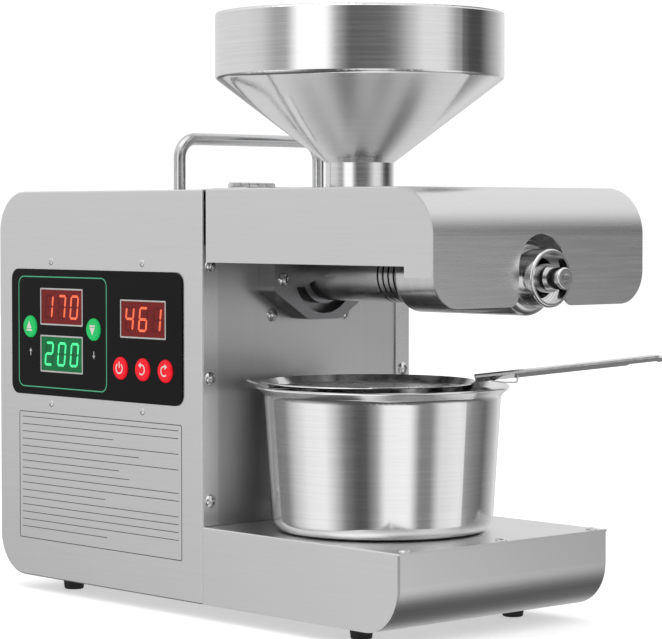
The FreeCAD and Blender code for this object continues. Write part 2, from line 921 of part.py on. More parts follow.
# ---- barrel ----
def make_barrel_flange():
    top = axis_z + flange_rise
    shoulder = axis_z - flange_drop
    low = axis_z - lobe_drop
    points = [
        (-flange_half_width, top),
        (-flange_half_width, shoulder),
        (-lobe_half_width, low),
        (lobe_half_width, low),
        (flange_half_width, shoulder),
        (flange_half_width, top),
    ]
    corner_radii = [flange_top_r, flange_shoulder_r, lobe_r, lobe_r, flange_shoulder_r, flange_top_r]
    block = plate(points, corner_radii, front_view, bulkhead_front_x, flange_t)
    pocket_r = barrel_r + flange_pocket
    pocket = ring(pocket_r, barrel_r + 2, flange_t, V(bulkhead_front_x + 5, 0, axis_z), X_AXIS)
    pocket = pocket.common(box(seam_x, flange_front_x + 1, -pocket_r, pocket_r, low - 5, axis_z - barrel_r / 2))
    block = block.cut(pocket)
    bush_r = output_shaft_r + running_fit
    block = block.cut(cyl(bush_r, flange_t, V(bulkhead_front_x, 0, axis_z), X_AXIS))
    return block.cut(cyl(barrel_r, flange_t, V(seam_x + barrel_seat, 0, axis_z), X_AXIS))


def make_flange_bolts():
    heads = []
    y = flange_half_width - bolt_inset
    for side in (-1, 1):
        for z in (axis_z - flange_drop + bolt_inset, axis_z + flange_rise - bolt_inset):
            heads.append(pan_head(V(flange_front_x, side * y, z), X_AXIS, bolt_head_r, bolt_head_h))
    return group(heads)


def make_press_barrel():
    """Tube with a feed hole and boss on top and ring slits for the oil before the heater."""
    start = seam_x + barrel_seat
    barrel = cyl(barrel_r, outlet_x - start, V(start, 0, axis_z), X_AXIS)
    barrel = barrel.fuse(cyl(feed_boss_r, feed_boss_top - axis_z, V(feed_x, 0, axis_z), Z_AXIS))
    barrel = barrel.cut(cyl(bore_r, outlet_x - start, V(start, 0, axis_z), X_AXIS))
    barrel = barrel.cut(cyl(feed_hole_r, feed_boss_top - axis_z, V(feed_x, 0, axis_z), Z_AXIS))
    funnel = V(feed_x, 0, feed_boss_top - funnel_depth)
    barrel = barrel.cut(Part.makeCone(feed_hole_r, feed_boss_r - 1, funnel_depth, funnel, Z_AXIS))
    ribs = []
    for index in range(4):
        rib = box(0, slit_count * slit_pitch, -slit_rib / 2, slit_rib / 2, -barrel_r, 0)
        rib.translate(V(seam_x + slit_start, 0, axis_z))
        rib.rotate(V(0, 0, axis_z), X_AXIS, 45 + 90 * index)
        ribs.append(rib)
    for index in range(slit_count):
        x = seam_x + slit_start + index * slit_pitch
        slit = ring(barrel_r + 1, bore_r - 1, slit_width, V(x, 0, axis_z), X_AXIS).cut(ribs)
        barrel = barrel.cut(slit)
    return barrel


def make_heater_sleeve():
    start = V(seam_x + heater_start, 0, axis_z)
    sleeve = cyl(heater_r, heater_length, start, X_AXIS)
    sleeve = sleeve.makeFillet(heater_end_r, [edge for edge in sleeve.Edges if edge.Closed])
    sleeve = sleeve.cut(cyl(barrel_r + running_fit, heater_length, start, X_AXIS))
    return sleeve.cut(cyl(probe_r, heater_wall, V(probe_x, 0, axis_z + barrel_r + probe_end_gap), Z_AXIS))


def make_temperature_probe():
    """Sensor screwed into the top of the heater sleeve, with a hexagonal shoulder."""
    seat = V(probe_x, 0, axis_z + barrel_r + probe_end_gap)
    stem = cyl(probe_r, heater_wall + probe_hex_h + probe_length - probe_end_gap, seat, Z_AXIS)
    shoulder = Part.Face(hexagon(V(probe_x, 0, axis_z + heater_r), 2 * probe_r)).extrude(Z_AXIS * probe_hex_h)
    return stem.fuse(shoulder)


def make_outlet_ring():
    """Ring nut at the barrel's mouth; the cake leaves between it and the screw's nose."""
    place = V(outlet_x, 0, axis_z)
    nut = cyl(barrel_r, outlet_length, place, X_AXIS)
    rim = [edge for edge in nut.Edges if edge.Closed and edge.CenterOfMass.x > outlet_x + 1]
    nut = nut.makeFillet(1.2, rim)
    nut = nut.cut(cyl(bore_r, outlet_length, place, X_AXIS))
    mouth_r = barrel_r - outlet_lip
    return nut.cut(cyl(mouth_r, outlet_length, V(outlet_x + outlet_length / 3, 0, axis_z), X_AXIS))


def make_press_screw():
    """Tapered root with one helical flight, a tang in the shaft's socket and a stepped nose."""
    start = seam_x + screw_start
    flight_x = seam_x + flight_start
    flight_length = barrel_length - flight_front_gap - flight_start
    end = outlet_x + outlet_length
    root_end_r = screw_r - 2.2
    solids = [
        cyl(tang_r, screw_start - shaft_end, V(seam_x + shaft_end, 0, axis_z), X_AXIS),
        Part.makeCone(screw_root_r, root_end_r, outlet_x - start, V(start, 0, axis_z), X_AXIS),
        Part.makeCone(root_end_r, nose_r + 1.6, outlet_length, V(outlet_x, 0, axis_z), X_AXIS),
        cyl(nose_r, nose_reach, V(end, 0, axis_z), X_AXIS),
    ]
    root = union(solids)
    rim = [edge for edge in root.Edges if edge.Closed and edge.CenterOfMass.x > end + nose_reach - 0.1]
    root = root.makeFillet(1.0, rim)
    socket = Part.Face(hexagon(V(0, 0, 0), nose_r * 0.55)).extrude(Z_AXIS * 5)
    socket.rotate(V(0, 0, 0), Y_AXIS, 90)
    socket.translate(V(end + nose_reach - 4.9, 0, axis_z))
    root = root.cut(socket)
    return root.fuse(make_flight(flight_x, flight_length))


def make_flight(start_x, length):
    helix = Part.makeHelix(flight_pitch, length, screw_r)
    inner = screw_root_r - 0.5
    points = [
        V(inner, 0, -flight_t * 0.75),
        V(screw_r, 0, -flight_t * 0.35),
        V(screw_r, 0, flight_t * 0.35),
        V(inner, 0, flight_t * 0.75),
    ]
    section = Part.makePolygon(points + points[:1])
    flight = Part.Wire(helix.Edges).makePipeShell([section], True, True)
    flight.rotate(V(0, 0, 0), Y_AXIS, 90)
    flight.translate(V(start_x, 0, axis_z))
    return flight


# ---- drive, behind the bulkhead ----
def make_gearbox_housing():
    depth = gearbox_depth - gearbox_cover_t
    outer = stadium(gearbox_r, gearbox_back_x, depth)
    cavity = stadium(gearbox_r - gearbox_wall, gearbox_back_x + gearbox_wall, depth)
    housing = outer.cut(cavity)
    for z, radius in ((axis_z, output_shaft_r), (lay_z, lay_shaft_r)):
        boss = cyl(radius + bearing_wall + 2, bearing_w, V(gearbox_back_x, 0, z), X_AXIS)
        housing = housing.fuse(boss)
        housing = housing.cut(cyl(radius + bearing_wall, bearing_w, V(gearbox_back_x, 0, z), X_AXIS))
    return housing.cut(cyl(rotor_shaft_r + 1, gearbox_wall, V(gearbox_back_x, 0, rotor_z), X_AXIS))


def stadium(radius, x, depth):
    top = cyl(radius, depth, V(x, 0, axis_z), X_AXIS)
    bottom = cyl(radius, depth, V(x, 0, gearbox_low_z), X_AXIS)
    middle = box(x, x + depth, -radius, radius, gearbox_low_z, axis_z)
    return union([top, bottom, middle])


def make_gearbox_cover():
    cover = stadium(gearbox_r, bulkhead_back_x - gearbox_cover_t, gearbox_cover_t)
    for z, radius in ((axis_z, output_shaft_r), (lay_z, lay_shaft_r)):
        place = V(bulkhead_back_x - gearbox_cover_t, 0, z)
        cover = cover.cut(cyl(radius + bearing_wall, gearbox_cover_t, place, X_AXIS))
    return cover


def make_bearings(z, shaft_r):
    outer = shaft_r + bearing_wall
    inner = shaft_r + running_fit
    back = ring(outer, inner, bearing_w, V(gearbox_back_x, 0, z), X_AXIS)
    front = ring(outer, inner, gearbox_cover_t, V(bulkhead_back_x - gearbox_cover_t, 0, z), X_AXIS)
    return group([back, front])


def make_output_shaft():
    end = seam_x + screw_start
    shaft = cyl(output_shaft_r, end - gearbox_back_x, V(gearbox_back_x, 0, axis_z), X_AXIS)
    return shaft.cut(cyl(tang_r, screw_start - shaft_end, V(seam_x + shaft_end, 0, axis_z), X_AXIS))


def make_output_gear():
    return spur_gear(output_teeth, gear_module_low, output_gear_w, output_shaft_r, 2, 0, output_gear_x, axis_z)


def make_layshaft():
    """Shaft with the large driven gear and, cut on the same blank, the small pinion."""
    start = V(gearbox_back_x + face_gap, 0, lay_z)
    shaft = cyl(lay_shaft_r, gearbox_depth - 2 * face_gap, start, X_AXIS)
    turn = meshing_turn(output_teeth, lay_pinion_teeth)
    bore = lay_shaft_r
    pinion = spur_gear(lay_pinion_teeth, gear_module_low, output_gear_w, bore, 3, turn, output_gear_x, lay_z)
    gear = spur_gear(lay_gear_teeth, gear_module_high, lay_gear_w, bore, 2, 0, lay_gear_x, lay_z)
    return union([shaft, pinion, gear])


def make_rotor():
    """Motor shaft with the first pinion, the rotor core and the seat of the fan."""
    start = motor_back_x - fan_w - 4
    shaft = cyl(rotor_shaft_r, lay_gear_x + lay_gear_w - start, V(start, 0, rotor_z), X_AXIS)
    turn = meshing_turn(lay_gear_teeth, rotor_teeth)
    bore = rotor_shaft_r
    pinion = spur_gear(rotor_teeth, gear_module_high, lay_gear_w, bore, 3, turn, lay_gear_x, rotor_z)
    core = cyl(rotor_r, motor_length * 0.55, V(motor_back_x + motor_length * 0.22, 0, rotor_z), X_AXIS)
    return union([shaft, pinion, core])


def make_motor_housing():
    barrel = cyl(motor_r, motor_length, V(motor_back_x, 0, rotor_z), X_AXIS)
    back_rim = [edge for edge in barrel.Edges if edge.Closed and edge.CenterOfMass.x < motor_back_x + 1]
    barrel = barrel.makeChamfer(motor_edge_r, back_rim)
    inside = V(motor_back_x + motor_shell, 0, rotor_z)
    hollow = cyl(motor_r - motor_shell, motor_length - 2 * motor_shell, inside, X_AXIS)
    shaft_hole = cyl(rotor_shaft_r + running_fit, motor_length, V(motor_back_x, 0, rotor_z), X_AXIS)
    return barrel.cut(hollow).cut(shaft_hole)


def make_motor_windings():
    start = V(motor_back_x + motor_length * 0.2, 0, rotor_z)
    return ring(motor_r - motor_shell - running_fit, rotor_r + 1, motor_length * 0.6, start, X_AXIS)


def make_motor_fan():
    x = motor_back_x - fan_w - 2
    hub = ring(9, rotor_shaft_r, fan_w, V(x, 0, rotor_z), X_AXIS)
    solids = [hub]
    for index in range(fan_blades):
        blade = box(0, 1.5, 7, fan_r, -fan_w * 0.7, fan_w * 0.7)
        blade.rotate(V(0, 0, 0), Y_AXIS, 52)
        blade.rotate(V(0, 0, 0), X_AXIS, 360 * index / fan_blades)
        blade.translate(V(x + fan_w / 2, 0, rotor_z))
        solids.append(blade)
    slab = cyl(fan_r, fan_w, V(x, 0, rotor_z), X_AXIS)
    return union(solids).common(slab)


def make_capacitor():
    """Motor capacitor strapped to the casing's floor."""
    place = V(gearbox_back_x - 2 * capacitor_r, inner_half - capacitor_r - 4, sheet)
    can = cyl(capacitor_r, capacitor_length, place, Z_AXIS)
    return can.makeChamfer(sheet, [edge for edge in can.Edges if edge.Closed and edge.CenterOfMass.z > 2 * sheet])


# ---- control panel ----
def make_fascia():
    left = fascia_x - fascia_length / 2
    low = fascia_z - fascia_height / 2
    points = [
        (left, low),
        (left + fascia_length, low),
        (left + fascia_length, low + fascia_height),
        (left, low + fascia_height),
    ]
    fascia = plate(points, [fascia_r] * 4, side_view, -half_width - fascia_t, fascia_t)
    for x, z in displays.values():
        window = fascia_block(x, z, display_length, display_height, -half_width - 2 * fascia_t, -half_width)
        fascia = fascia.cut(window)
    for x, z in buttons.values():
        hole = cyl(button_r + button_gap, 2 * fascia_t, on_fascia(x, z, -half_width - 1.5 * fascia_t), Y_AXIS)
        fascia = fascia.cut(hole)
    return fascia


def make_display(x, z):
    """Glass window in the fascia with the display's block behind it, standing on the board."""
    y0 = -half_width - fascia_t + window_gap
    length = display_length - 2 * window_gap
    height = display_height - 2 * window_gap
    glass = fascia_block(x, z, length, height, y0, -half_width)
    block = fascia_block(x, z, length - window_edge, height - window_edge, y0, board_y)
    return glass.fuse(block).removeSplitter()


def make_button(x, z):
    """Round cap with a stem that reaches the switch on the board."""
    front = -half_width - fascia_t - button_proud
    cap_depth = button_proud + fascia_t + sheet + button_stem
    cap = cyl(button_r, cap_depth, on_fascia(x, z, front), Y_AXIS)
    rim = [edge for edge in cap.Edges if edge.Closed and edge.CenterOfMass.y < front + 0.1]
    cap = cap.makeChamfer(button_edge_r, rim)
    stem_y = front + cap_depth
    stem_length = board_y - switch_h - face_gap - button_travel - stem_y
    return cap.fuse(cyl(stem_r, stem_length, on_fascia(x, z, stem_y), Y_AXIS))


def make_control_board():
    """Board that reaches past its four screws, with a switch under each button."""
    xs = [x for x, z in panel_screw_places + list(buttons.values())]
    zs = [z for x, z in panel_screw_places]
    low = on_fascia(min(xs) - board_margin, min(zs) - board_margin, board_y)
    high = on_fascia(max(xs) + board_margin, max(zs) + board_margin, board_y + board_t)
    board = box(low.x, high.x, low.y, high.y, low.z, high.z)
    for x, z in buttons.values():
        board = board.fuse(fascia_block(x, z, 2 * switch_h, 2 * switch_h, board_y - switch_h, board_y))
    return board


def make_board_posts():
    posts = []
    for x, z in panel_screw_places:
        posts.append(cyl(post_r, board_y + inner_half, on_fascia(x, z, -inner_half), Y_AXIS))
    return group(posts)


def make_panel_screws():
    heads = []
    for x, z in panel_screw_places:
        heads.append(pan_head(on_fascia(x, z, -half_width), V(0, -1, 0), small_head_r, small_head_h))
    return group(heads)


# ---- rear fittings ----
def make_power_inlet():
    """Appliance inlet: a flange on the rear sheet and a recessed body with three contact pins."""
    width = inlet_width
    height = inlet_height
    y0 = inlet_y - width / 2
    z0 = inlet_z - height / 2
    flange = box(rear_x - inlet_t, rear_x, y0, y0 + width, z0, z0 + height)
    corners = [edge for edge in flange.Edges if edge.BoundBox.XLength > inlet_t / 2]
    flange = flange.makeFillet(inlet_corner_r, corners)
    side = inlet_margin + 1
    top_z = z0 + height - inlet_margin
    body = box(rear_x, rear_x + inlet_depth, y0 + side, y0 + width - side, z0 + inlet_margin, top_z)
    inlet = flange.fuse(body)
    half_w = socket_width / 2
    half_h = socket_height / 2
    floor_x = rear_x + inlet_depth - socket_floor
    recess = box(rear_x - inlet_t, floor_x, inlet_y - half_w, inlet_y + half_w, inlet_z - half_h, inlet_z + half_h)
    inlet = inlet.cut(recess)
    for y, z in ((-7, -2), (0, 2), (7, -2)):
        y_mid = inlet_y + y
        z_mid = inlet_z + z
        inlet = inlet.fuse(box(rear_x + 2, rear_x + inlet_depth - 4, y_mid - 1, y_mid + 1, z_mid - 2, z_mid + 2))
    return inlet


def rocker_block(half_w, half_h, x0, x1):
    return box(x0, x1, rocker_y - half_w, rocker_y + half_w, inlet_z - half_h, inlet_z + half_h)


def rocker_pivot(radius, half_length):
    return cyl(radius, 2 * half_length, V(rear_x, rocker_y - half_length, inlet_z), Y_AXIS)


def make_rocker_frame():
    """Bezel on the rear sheet and the switch body behind it, open in front, with two pivot holes."""
    edge = rocker_frame_edge
    frame = rocker_block(rocker_bay_half_w + edge, rocker_bay_half_h + edge, rear_x - inlet_t, rear_x)
    frame = frame.fuse(rocker_block(rocker_body_half_w, rocker_body_half_h, rear_x, rear_x + inlet_depth))
    floor_x = rear_x + inlet_depth - rocker_frame_wall
    frame = frame.cut(rocker_block(rocker_bay_half_w, rocker_bay_half_h, rear_x - inlet_t, floor_x))
    return frame.cut(rocker_pivot(rocker_pin_r + running_fit, rocker_bay_half_w + rocker_pin_reach + running_fit))


def make_rocker_switch():
    """Rocker with two sloping faces on a pivot, resting with its lower end pressed in."""
    half = rocker_length / 2
    slope = half * math.tan(math.radians(rocker_tilt))
    face_x = -inlet_t - rocker_face
    keel = rocker_keel
    points = [(face_x - slope, half), (face_x, 0), (face_x - slope, -half), (keel, -half / 2), (keel, half / 2)]
    rocker = plate(points, [0, 0, 0, 1, 1], side_view, rocker_y - rocker_width / 2, rocker_width)
    rocker.rotate(V(0, 0, 0), Y_AXIS, rocker_tilt)
    rocker.translate(V(rear_x, 0, inlet_z))
    return rocker.fuse(rocker_pivot(rocker_pin_r, rocker_width / 2 + face_gap + rocker_pin_reach))


nodes = {
    "casing_wrap": make_casing_wrap,
    "side_panel_control": make_control_side,
    "side_panel_plain": lambda: make_side_panel(1),
    "front_bulkhead": make_bulkhead,
    "tray_hood": make_tray_hood,
    "tray_front": make_tray_front,
    "tray_screws": make_tray_screws,
    "flange_screws": make_flange_screws,
    "bulkhead_screws": make_bulkhead_screws,
    "rubber_feet": make_feet,
    "carrying_handle": make_carrying_handle,
    "handle_nuts": make_handle_nuts,
    "cover_hood": make_cover_hood,
    "cover_nose": make_cover_nose,
    "hopper_socket": make_hopper_socket,
    "hinge_leaves_casing": lambda: make_hinge_leaves(-1, 0, case_height),
    "hinge_leaves_cover": lambda: make_hinge_leaves(1, 1, cover_top),
    "hinge_pins": make_hinge_pins,
    "hopper": make_hopper,
    "hopper_tube": make_hopper_tube,
    "oil_pot": make_pot,
    "strainer_bowl": make_strainer_bowl,
    "strainer_mesh": make_strainer_mesh,
    "strainer_handle": make_strainer_handle,
    "strainer_hook": make_strainer_hook,
    "strainer_tab": make_strainer_tab,
    "barrel_flange": make_barrel_flange,
    "barrel_bolts": make_flange_bolts,
    "press_barrel": make_press_barrel,
    "heater_sleeve": make_heater_sleeve,
    "temperature_probe": make_temperature_probe,
    "outlet_ring": make_outlet_ring,
    "press_screw": make_press_screw,
    "output_shaft": make_output_shaft,
    "output_gear": make_output_gear,
    "output_bearings": lambda: make_bearings(axis_z, output_shaft_r),
    "layshaft": make_layshaft,
    "layshaft_bearings": lambda: make_bearings(lay_z, lay_shaft_r),
    "gearbox_housing": make_gearbox_housing,
    "gearbox_cover": make_gearbox_cover,
    "motor_housing": make_motor_housing,
    "motor_windings": make_motor_windings,
    "motor_rotor": make_rotor,
    "motor_fan": make_motor_fan,
    "motor_capacitor": make_capacitor,
    "control_fascia": make_fascia,
    "control_board": make_control_board,
    "board_posts": make_board_posts,
    "panel_screws": make_panel_screws,
    "power_inlet": make_power_inlet,
    "rocker_frame": make_rocker_frame,
    "rocker_switch": make_rocker_switch,
}

os.makedirs("parts", exist_ok=True)
for node, make in nodes.items():
    save(node, make())
for node, (x, z) in displays.items():
    save(node, make_display(x, z))
for node, (x, z) in buttons.items():
    save(node, make_button(x, z))
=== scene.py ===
"""Looks of a countertop screw oil press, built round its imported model."""

import math
import random

import bmesh
import bpy
from mathutils import Matrix, Vector


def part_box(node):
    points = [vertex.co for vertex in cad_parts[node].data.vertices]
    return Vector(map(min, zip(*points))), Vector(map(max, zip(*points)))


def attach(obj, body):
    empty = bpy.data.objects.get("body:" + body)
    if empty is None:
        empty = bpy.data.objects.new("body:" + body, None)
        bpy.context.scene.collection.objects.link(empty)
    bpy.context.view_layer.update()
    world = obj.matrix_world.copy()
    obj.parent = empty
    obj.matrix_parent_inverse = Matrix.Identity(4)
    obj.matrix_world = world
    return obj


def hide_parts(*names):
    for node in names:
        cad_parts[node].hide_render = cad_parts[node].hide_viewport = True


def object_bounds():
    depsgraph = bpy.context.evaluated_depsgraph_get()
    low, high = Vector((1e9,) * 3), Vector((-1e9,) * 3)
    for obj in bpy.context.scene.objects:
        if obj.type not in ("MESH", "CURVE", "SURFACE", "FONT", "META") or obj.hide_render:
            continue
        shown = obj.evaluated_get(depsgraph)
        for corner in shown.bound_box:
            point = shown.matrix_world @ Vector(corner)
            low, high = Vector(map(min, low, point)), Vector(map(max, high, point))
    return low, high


bl_info = {
    "name": "Screw oil press",
    "version": (1, 0, 0),
    "blender": (4, 5, 0),
    "location": "3D View > Sidebar > Oil press",
    "description": "Dresses a countertop screw oil press in its finishes and fine pieces",
    "category": "Object",
}

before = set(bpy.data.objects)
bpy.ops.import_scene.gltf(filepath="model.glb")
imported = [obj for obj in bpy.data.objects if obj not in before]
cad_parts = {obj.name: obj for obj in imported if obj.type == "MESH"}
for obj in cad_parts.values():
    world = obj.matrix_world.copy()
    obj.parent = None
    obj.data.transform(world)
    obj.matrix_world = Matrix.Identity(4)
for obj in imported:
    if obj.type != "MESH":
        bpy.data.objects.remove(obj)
CAD_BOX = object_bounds()
MM = 0.001
LONG_STREAK = 16.0
FINE_STREAK = 700.0


# ---- shader expressions ----
class Socket:
    """One output of a shader node; Python's operators add Math nodes to it."""

    def __init__(self, graph, output):
        self.graph = graph
        self.output = output

    def __add__(self, other):
        return self.graph.math("ADD", self, other)

    __radd__ = __add__

    def __sub__(self, other):
        return self.graph.math("SUBTRACT", self, other)

    def __rsub__(self, other):
        return self.graph.math("SUBTRACT", other, self)

    def __mul__(self, other):
        return self.graph.math("MULTIPLY", self, other)

    __rmul__ = __mul__

    def __truediv__(self, other):
        return self.graph.math("DIVIDE", self, other)

    def __pow__(self, other):
        return self.graph.math("POWER", self, other)

    def sibling(self, name):
        """Another output of the same node."""
        return Socket(self.graph, self.output.node.outputs[name])


class Graph:
    """The node tree of one material, or of the world."""

    def __init__(self, owner):
        owner.use_nodes = True
        self.tree = owner.node_tree
        self.tree.nodes.clear()

    def node(self, kind, settings=None, sockets=None, output=0):
        """Any node: its settings are set first, then the values or links of its sockets."""
        made = self.tree.nodes.new(kind)
        for name, value in (settings or {}).items():
            if name == "stops":
                fill_ramp(made.color_ramp, value)
            else:
                setattr(made, name, value)
        for name, value in (sockets or {}).items():
            if isinstance(value, Socket):
                self.tree.links.new(value.output, made.inputs[name])
            else:
                made.inputs[name].default_value = value
        return Socket(self, made.outputs[output]) if made.outputs else None

    def math(self, operation, first, second=0.0):
        return self.node("ShaderNodeMath", {"operation": operation}, {0: first, 1: second})

    def vector(self, operation, first, second=(0, 0, 0), output=0):
        settings = {"operation": operation}
        return self.node("ShaderNodeVectorMath", settings, {0: first, 1: second}, output)

    def mix(self, factor, first, second):
        """A blend of two colours."""
        return self.node("ShaderNodeMix", {"data_type": "RGBA"}, {0: factor, 6: first, 7: second}, 2)

    def place(self):
        """Where a surface point is, in metres in the object's own frame."""
        return self.node("ShaderNodeTexCoord", output="Object")

    def noise(self, vector, scale=1.0, detail=2.0, roughness=0.5):
        sockets = {"Vector": vector, "Scale": scale, "Detail": detail, "Roughness": roughness}
        return self.node("ShaderNodeTexNoise", sockets=sockets)

    def ramp(self, factor, stops):
        return self.node("ShaderNodeValToRGB", {"stops": stops}, {"Fac": factor})

    def range(self, value, low, high, to_low=0.0, to_high=1.0):
        sockets = {"Value": value, "From Min": low, "From Max": high, "To Min": to_low, "To Max": to_high}
        return self.node("ShaderNodeMapRange", {"interpolation_type": "SMOOTHSTEP"}, sockets)

    def bump(self, height, distance, strength=1.0):
        sockets = {"Height": height, "Distance": distance, "Strength": strength}
        return self.node("ShaderNodeBump", sockets=sockets)

    def surface(self, **sockets):
        """The material's Principled shader and its output."""
        named = {name.replace("_", " "): value for name, value in sockets.items()}
        shader = self.node("ShaderNodeBsdfPrincipled", sockets=named)
        self.node("ShaderNodeOutputMaterial", sockets={"Surface": shader})


def fill_ramp(ramp, stops):
    while len(ramp.elements) < len(stops):
        ramp.elements.new(1.0)
    for element, (position, level) in zip(ramp.elements, stops):
        element.position = position
        element.color = (level, level, level, 1.0)


# ---- finishes ----
def new_material(name):
    material = bpy.data.materials.new(name)
    return material, Graph(material)


def grey(level):
    return (level, level, level, 1.0)


def brushed_steel(name, along, level, roughness, streak=0.02, depth=0.000006):
    """Sheet brushed along one axis: long faint streaks over fine grain."""
    material, g = new_material(name)
    place = g.place()
    coarse = [FINE_STREAK] * 3
    coarse[along] = LONG_STREAK
    fine = [scale * 3.1 for scale in coarse]
    streaks = g.noise(g.vector("MULTIPLY", place, tuple(coarse)), detail=3.0)
    grain = g.noise(g.vector("MULTIPLY", place, tuple(fine)), detail=2.0)
    clouds = g.noise(place, scale=9.0, detail=2.0)
    lines = 0.5 * streaks + 0.3 * grain + 0.2 * clouds
    tone = g.range(lines, 0.3, 0.7)
    g.surface(
        Base_Color=g.mix(tone, grey(level * (1 - streak)), grey(level * (1 + streak))),
        Metallic=1.0,
        Roughness=g.range(lines, 0.3, 0.7, roughness - 0.03, roughness + 0.03),
        Normal=g.bump(lines, depth, 0.5),
    )
    return material


def turned_steel(name, centre, axis, level, roughness, ring_scale=900.0, depth=0.000004, contrast=0.03):
    """Metal turned or spun on a lathe: fine rings round one axis through a centre."""
    material, g = new_material(name)
    place = g.place()
    across = [1.0, 1.0, 1.0]
    across[axis] = 0.0
    offset = g.vector("SUBTRACT", place, tuple(centre))
    radius = g.vector("LENGTH", g.vector("MULTIPLY", offset, tuple(across)), output="Value")
    along = g.node("ShaderNodeSeparateXYZ", sockets={"Vector": offset}, output="XYZ"[axis])
    turn = g.noise(place, scale=30.0, detail=1.0)
    rings = g.node("ShaderNodeCombineXYZ", sockets={0: radius * ring_scale, 1: along * ring_scale, 2: turn * 3.0})
    lines = g.noise(rings, detail=3.0)
    tone = g.range(lines, 0.3, 0.7)
    g.surface(
        Base_Color=g.mix(tone, grey(level * (1 - contrast)), grey(level * (1 + contrast))),
        Metallic=1.0,
        Roughness=g.range(lines, 0.3, 0.7, roughness - 0.02, roughness + 0.03),
        Normal=g.bump(lines, depth, 0.4),
    )
    return material


def plain_metal(name, colour, roughness, scale=260.0, spread=0.04, depth=0.00001):
    """Metal with a fine uneven surface and slight colour changes."""
    material, g = new_material(name)
    place = g.place()
    marks = g.noise(place, scale=scale, detail=4.0)
    clouds = g.noise(place, scale=22.0, detail=2.0)
    tone = g.range(0.6 * marks + 0.4 * clouds, 0.35, 0.65)
    g.surface(
        Base_Color=g.mix(tone, shade(colour, 1 - 2 * spread), shade(colour, 1 + spread)),
        Metallic=1.0,
        Roughness=g.range(marks, 0.3, 0.7, roughness - 0.03, roughness + 0.05),
        Normal=g.bump(marks, depth, 0.4),
    )
    return material


def plastic(name, colour, roughness, scale=1400.0, depth=0.00002, specular=0.5):
    """Moulded plastic or rubber with a fine grain."""
    material, g = new_material(name)
    place = g.place()
    grain = g.noise(place, scale=scale, detail=3.0)
    wear = g.noise(place, scale=60.0, detail=3.0)
    g.surface(
        Base_Color=g.mix(g.range(wear, 0.35, 0.65), shade(colour, 0.88), shade(colour, 1.1)),
        Roughness=g.range(wear, 0.3, 0.7, roughness - 0.03, roughness + 0.04),
        Specular_IOR_Level=specular,
        Normal=g.bump(grain, depth, 0.5),
    )
    return material


def glowing(name, colour, strength, scale=180.0, base=0.2, roughness=0.3):
    """A lit number or a lit glass that really glows, or a print or button cap given a painted glow so that it shows
    in its own colour.
    """
    material, g = new_material(name)
    glow = g.range(g.noise(g.place(), scale=scale), 0.3, 0.7)
    g.surface(
        Base_Color=g.mix(glow, shade(colour, base * 0.9), shade(colour, base)),
        Roughness=roughness,
        Specular_IOR_Level=0.2,
        Emission_Color=g.mix(glow, shade(colour, 0.88), shade(colour, 1.0)),
        Emission_Strength=strength,
    )
    return material


def shade(colour, share):
    """A colour made darker or lighter, within what a surface can reflect."""
    return tuple(min(channel * share, 1.0) for channel in colour) + (1.0,)


# ---- dressing ----
def dress(material, *names):
    """Gives CAD nodes a finish."""
    for name in names:
        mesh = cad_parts[name].data
        mesh.materials.clear()
        mesh.materials.append(material)


def centre_of(node):
    low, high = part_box(node)
    return (Vector(low) + Vector(high)) / 2


def islands(node):
    """The boxes of the separate solids in a node, lowest and highest corners."""
    bm = bmesh.new()
    bm.from_mesh(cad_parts[node].data)
    bmesh.ops.remove_doubles(bm, verts=bm.verts, dist=0.01 * MM)
    seen = set()
    boxes = []
    for start in bm.verts:
        if start in seen:
            continue
        seen.add(start)
        group, queue = [], [start]
        while queue:
            vertex = queue.pop()
            group.append(vertex.co.copy())
            for edge in vertex.link_edges:
                other = edge.other_vert(vertex)
                if other not in seen:
                    seen.add(other)
                    queue.append(other)
        low = Vector([min(point[axis] for point in group) for axis in range(3)])
        high = Vector([max(point[axis] for point in group) for axis in range(3)])
        boxes.append((low, high))
    bm.free()
    return boxes


def make_piece(name, bm, material, body, replaced=(), sharp=35.0):
    """Turns a bmesh into a piece that rides on a body and carries the given finish."""
    bmesh.ops.recalc_face_normals(bm, faces=bm.faces)
    mesh = bpy.data.meshes.new(name)
    bm.to_mesh(mesh)
    bm.free()
    mesh.shade_smooth()
    mesh.set_sharp_from_angle(angle=math.radians(sharp))
    mesh.materials.append(material)
    piece = bpy.data.objects.new(name, mesh)
    bpy.context.scene.collection.objects.link(piece)
    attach(piece, body)
    for node in replaced:
        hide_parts(node)
    return piece


def lathe(bm, profile, steps, transform):
    """Adds a turned solid: the profile's radii and heights run from one point on the axis to another."""
    rings = []
    for radius, height in profile:
        if radius == 0:
            rings.append([bm.verts.new(transform @ Vector((0, 0, height)))])
            continue
        turn = [2 * math.pi * step / steps for step in range(steps)]
        rings.append([bm.verts.new(transform @ Vector((radius * math.cos(a), radius * math.sin(a), height))) for a in turn])
    for first, second in zip(rings, rings[1:]):
        for step in range(steps):
            after = (step + 1) % steps
            corners = [first[step % len(first)], first[after % len(first)], second[after % len(second)], second[step % len(second)]]
            distinct = list(dict.fromkeys(corners))
            if len(distinct) > 2:
                bm.faces.new(distinct)


def pointing(direction, place, turn=0.0):
    """A transform that takes +Z to a direction and the origin to a place."""
    spin = Vector(direction).to_track_quat("Z", "Y").to_matrix().to_4x4()
    return Matrix.Translation(place) @ spin @ Matrix.Rotation(turn, 4, "Z")


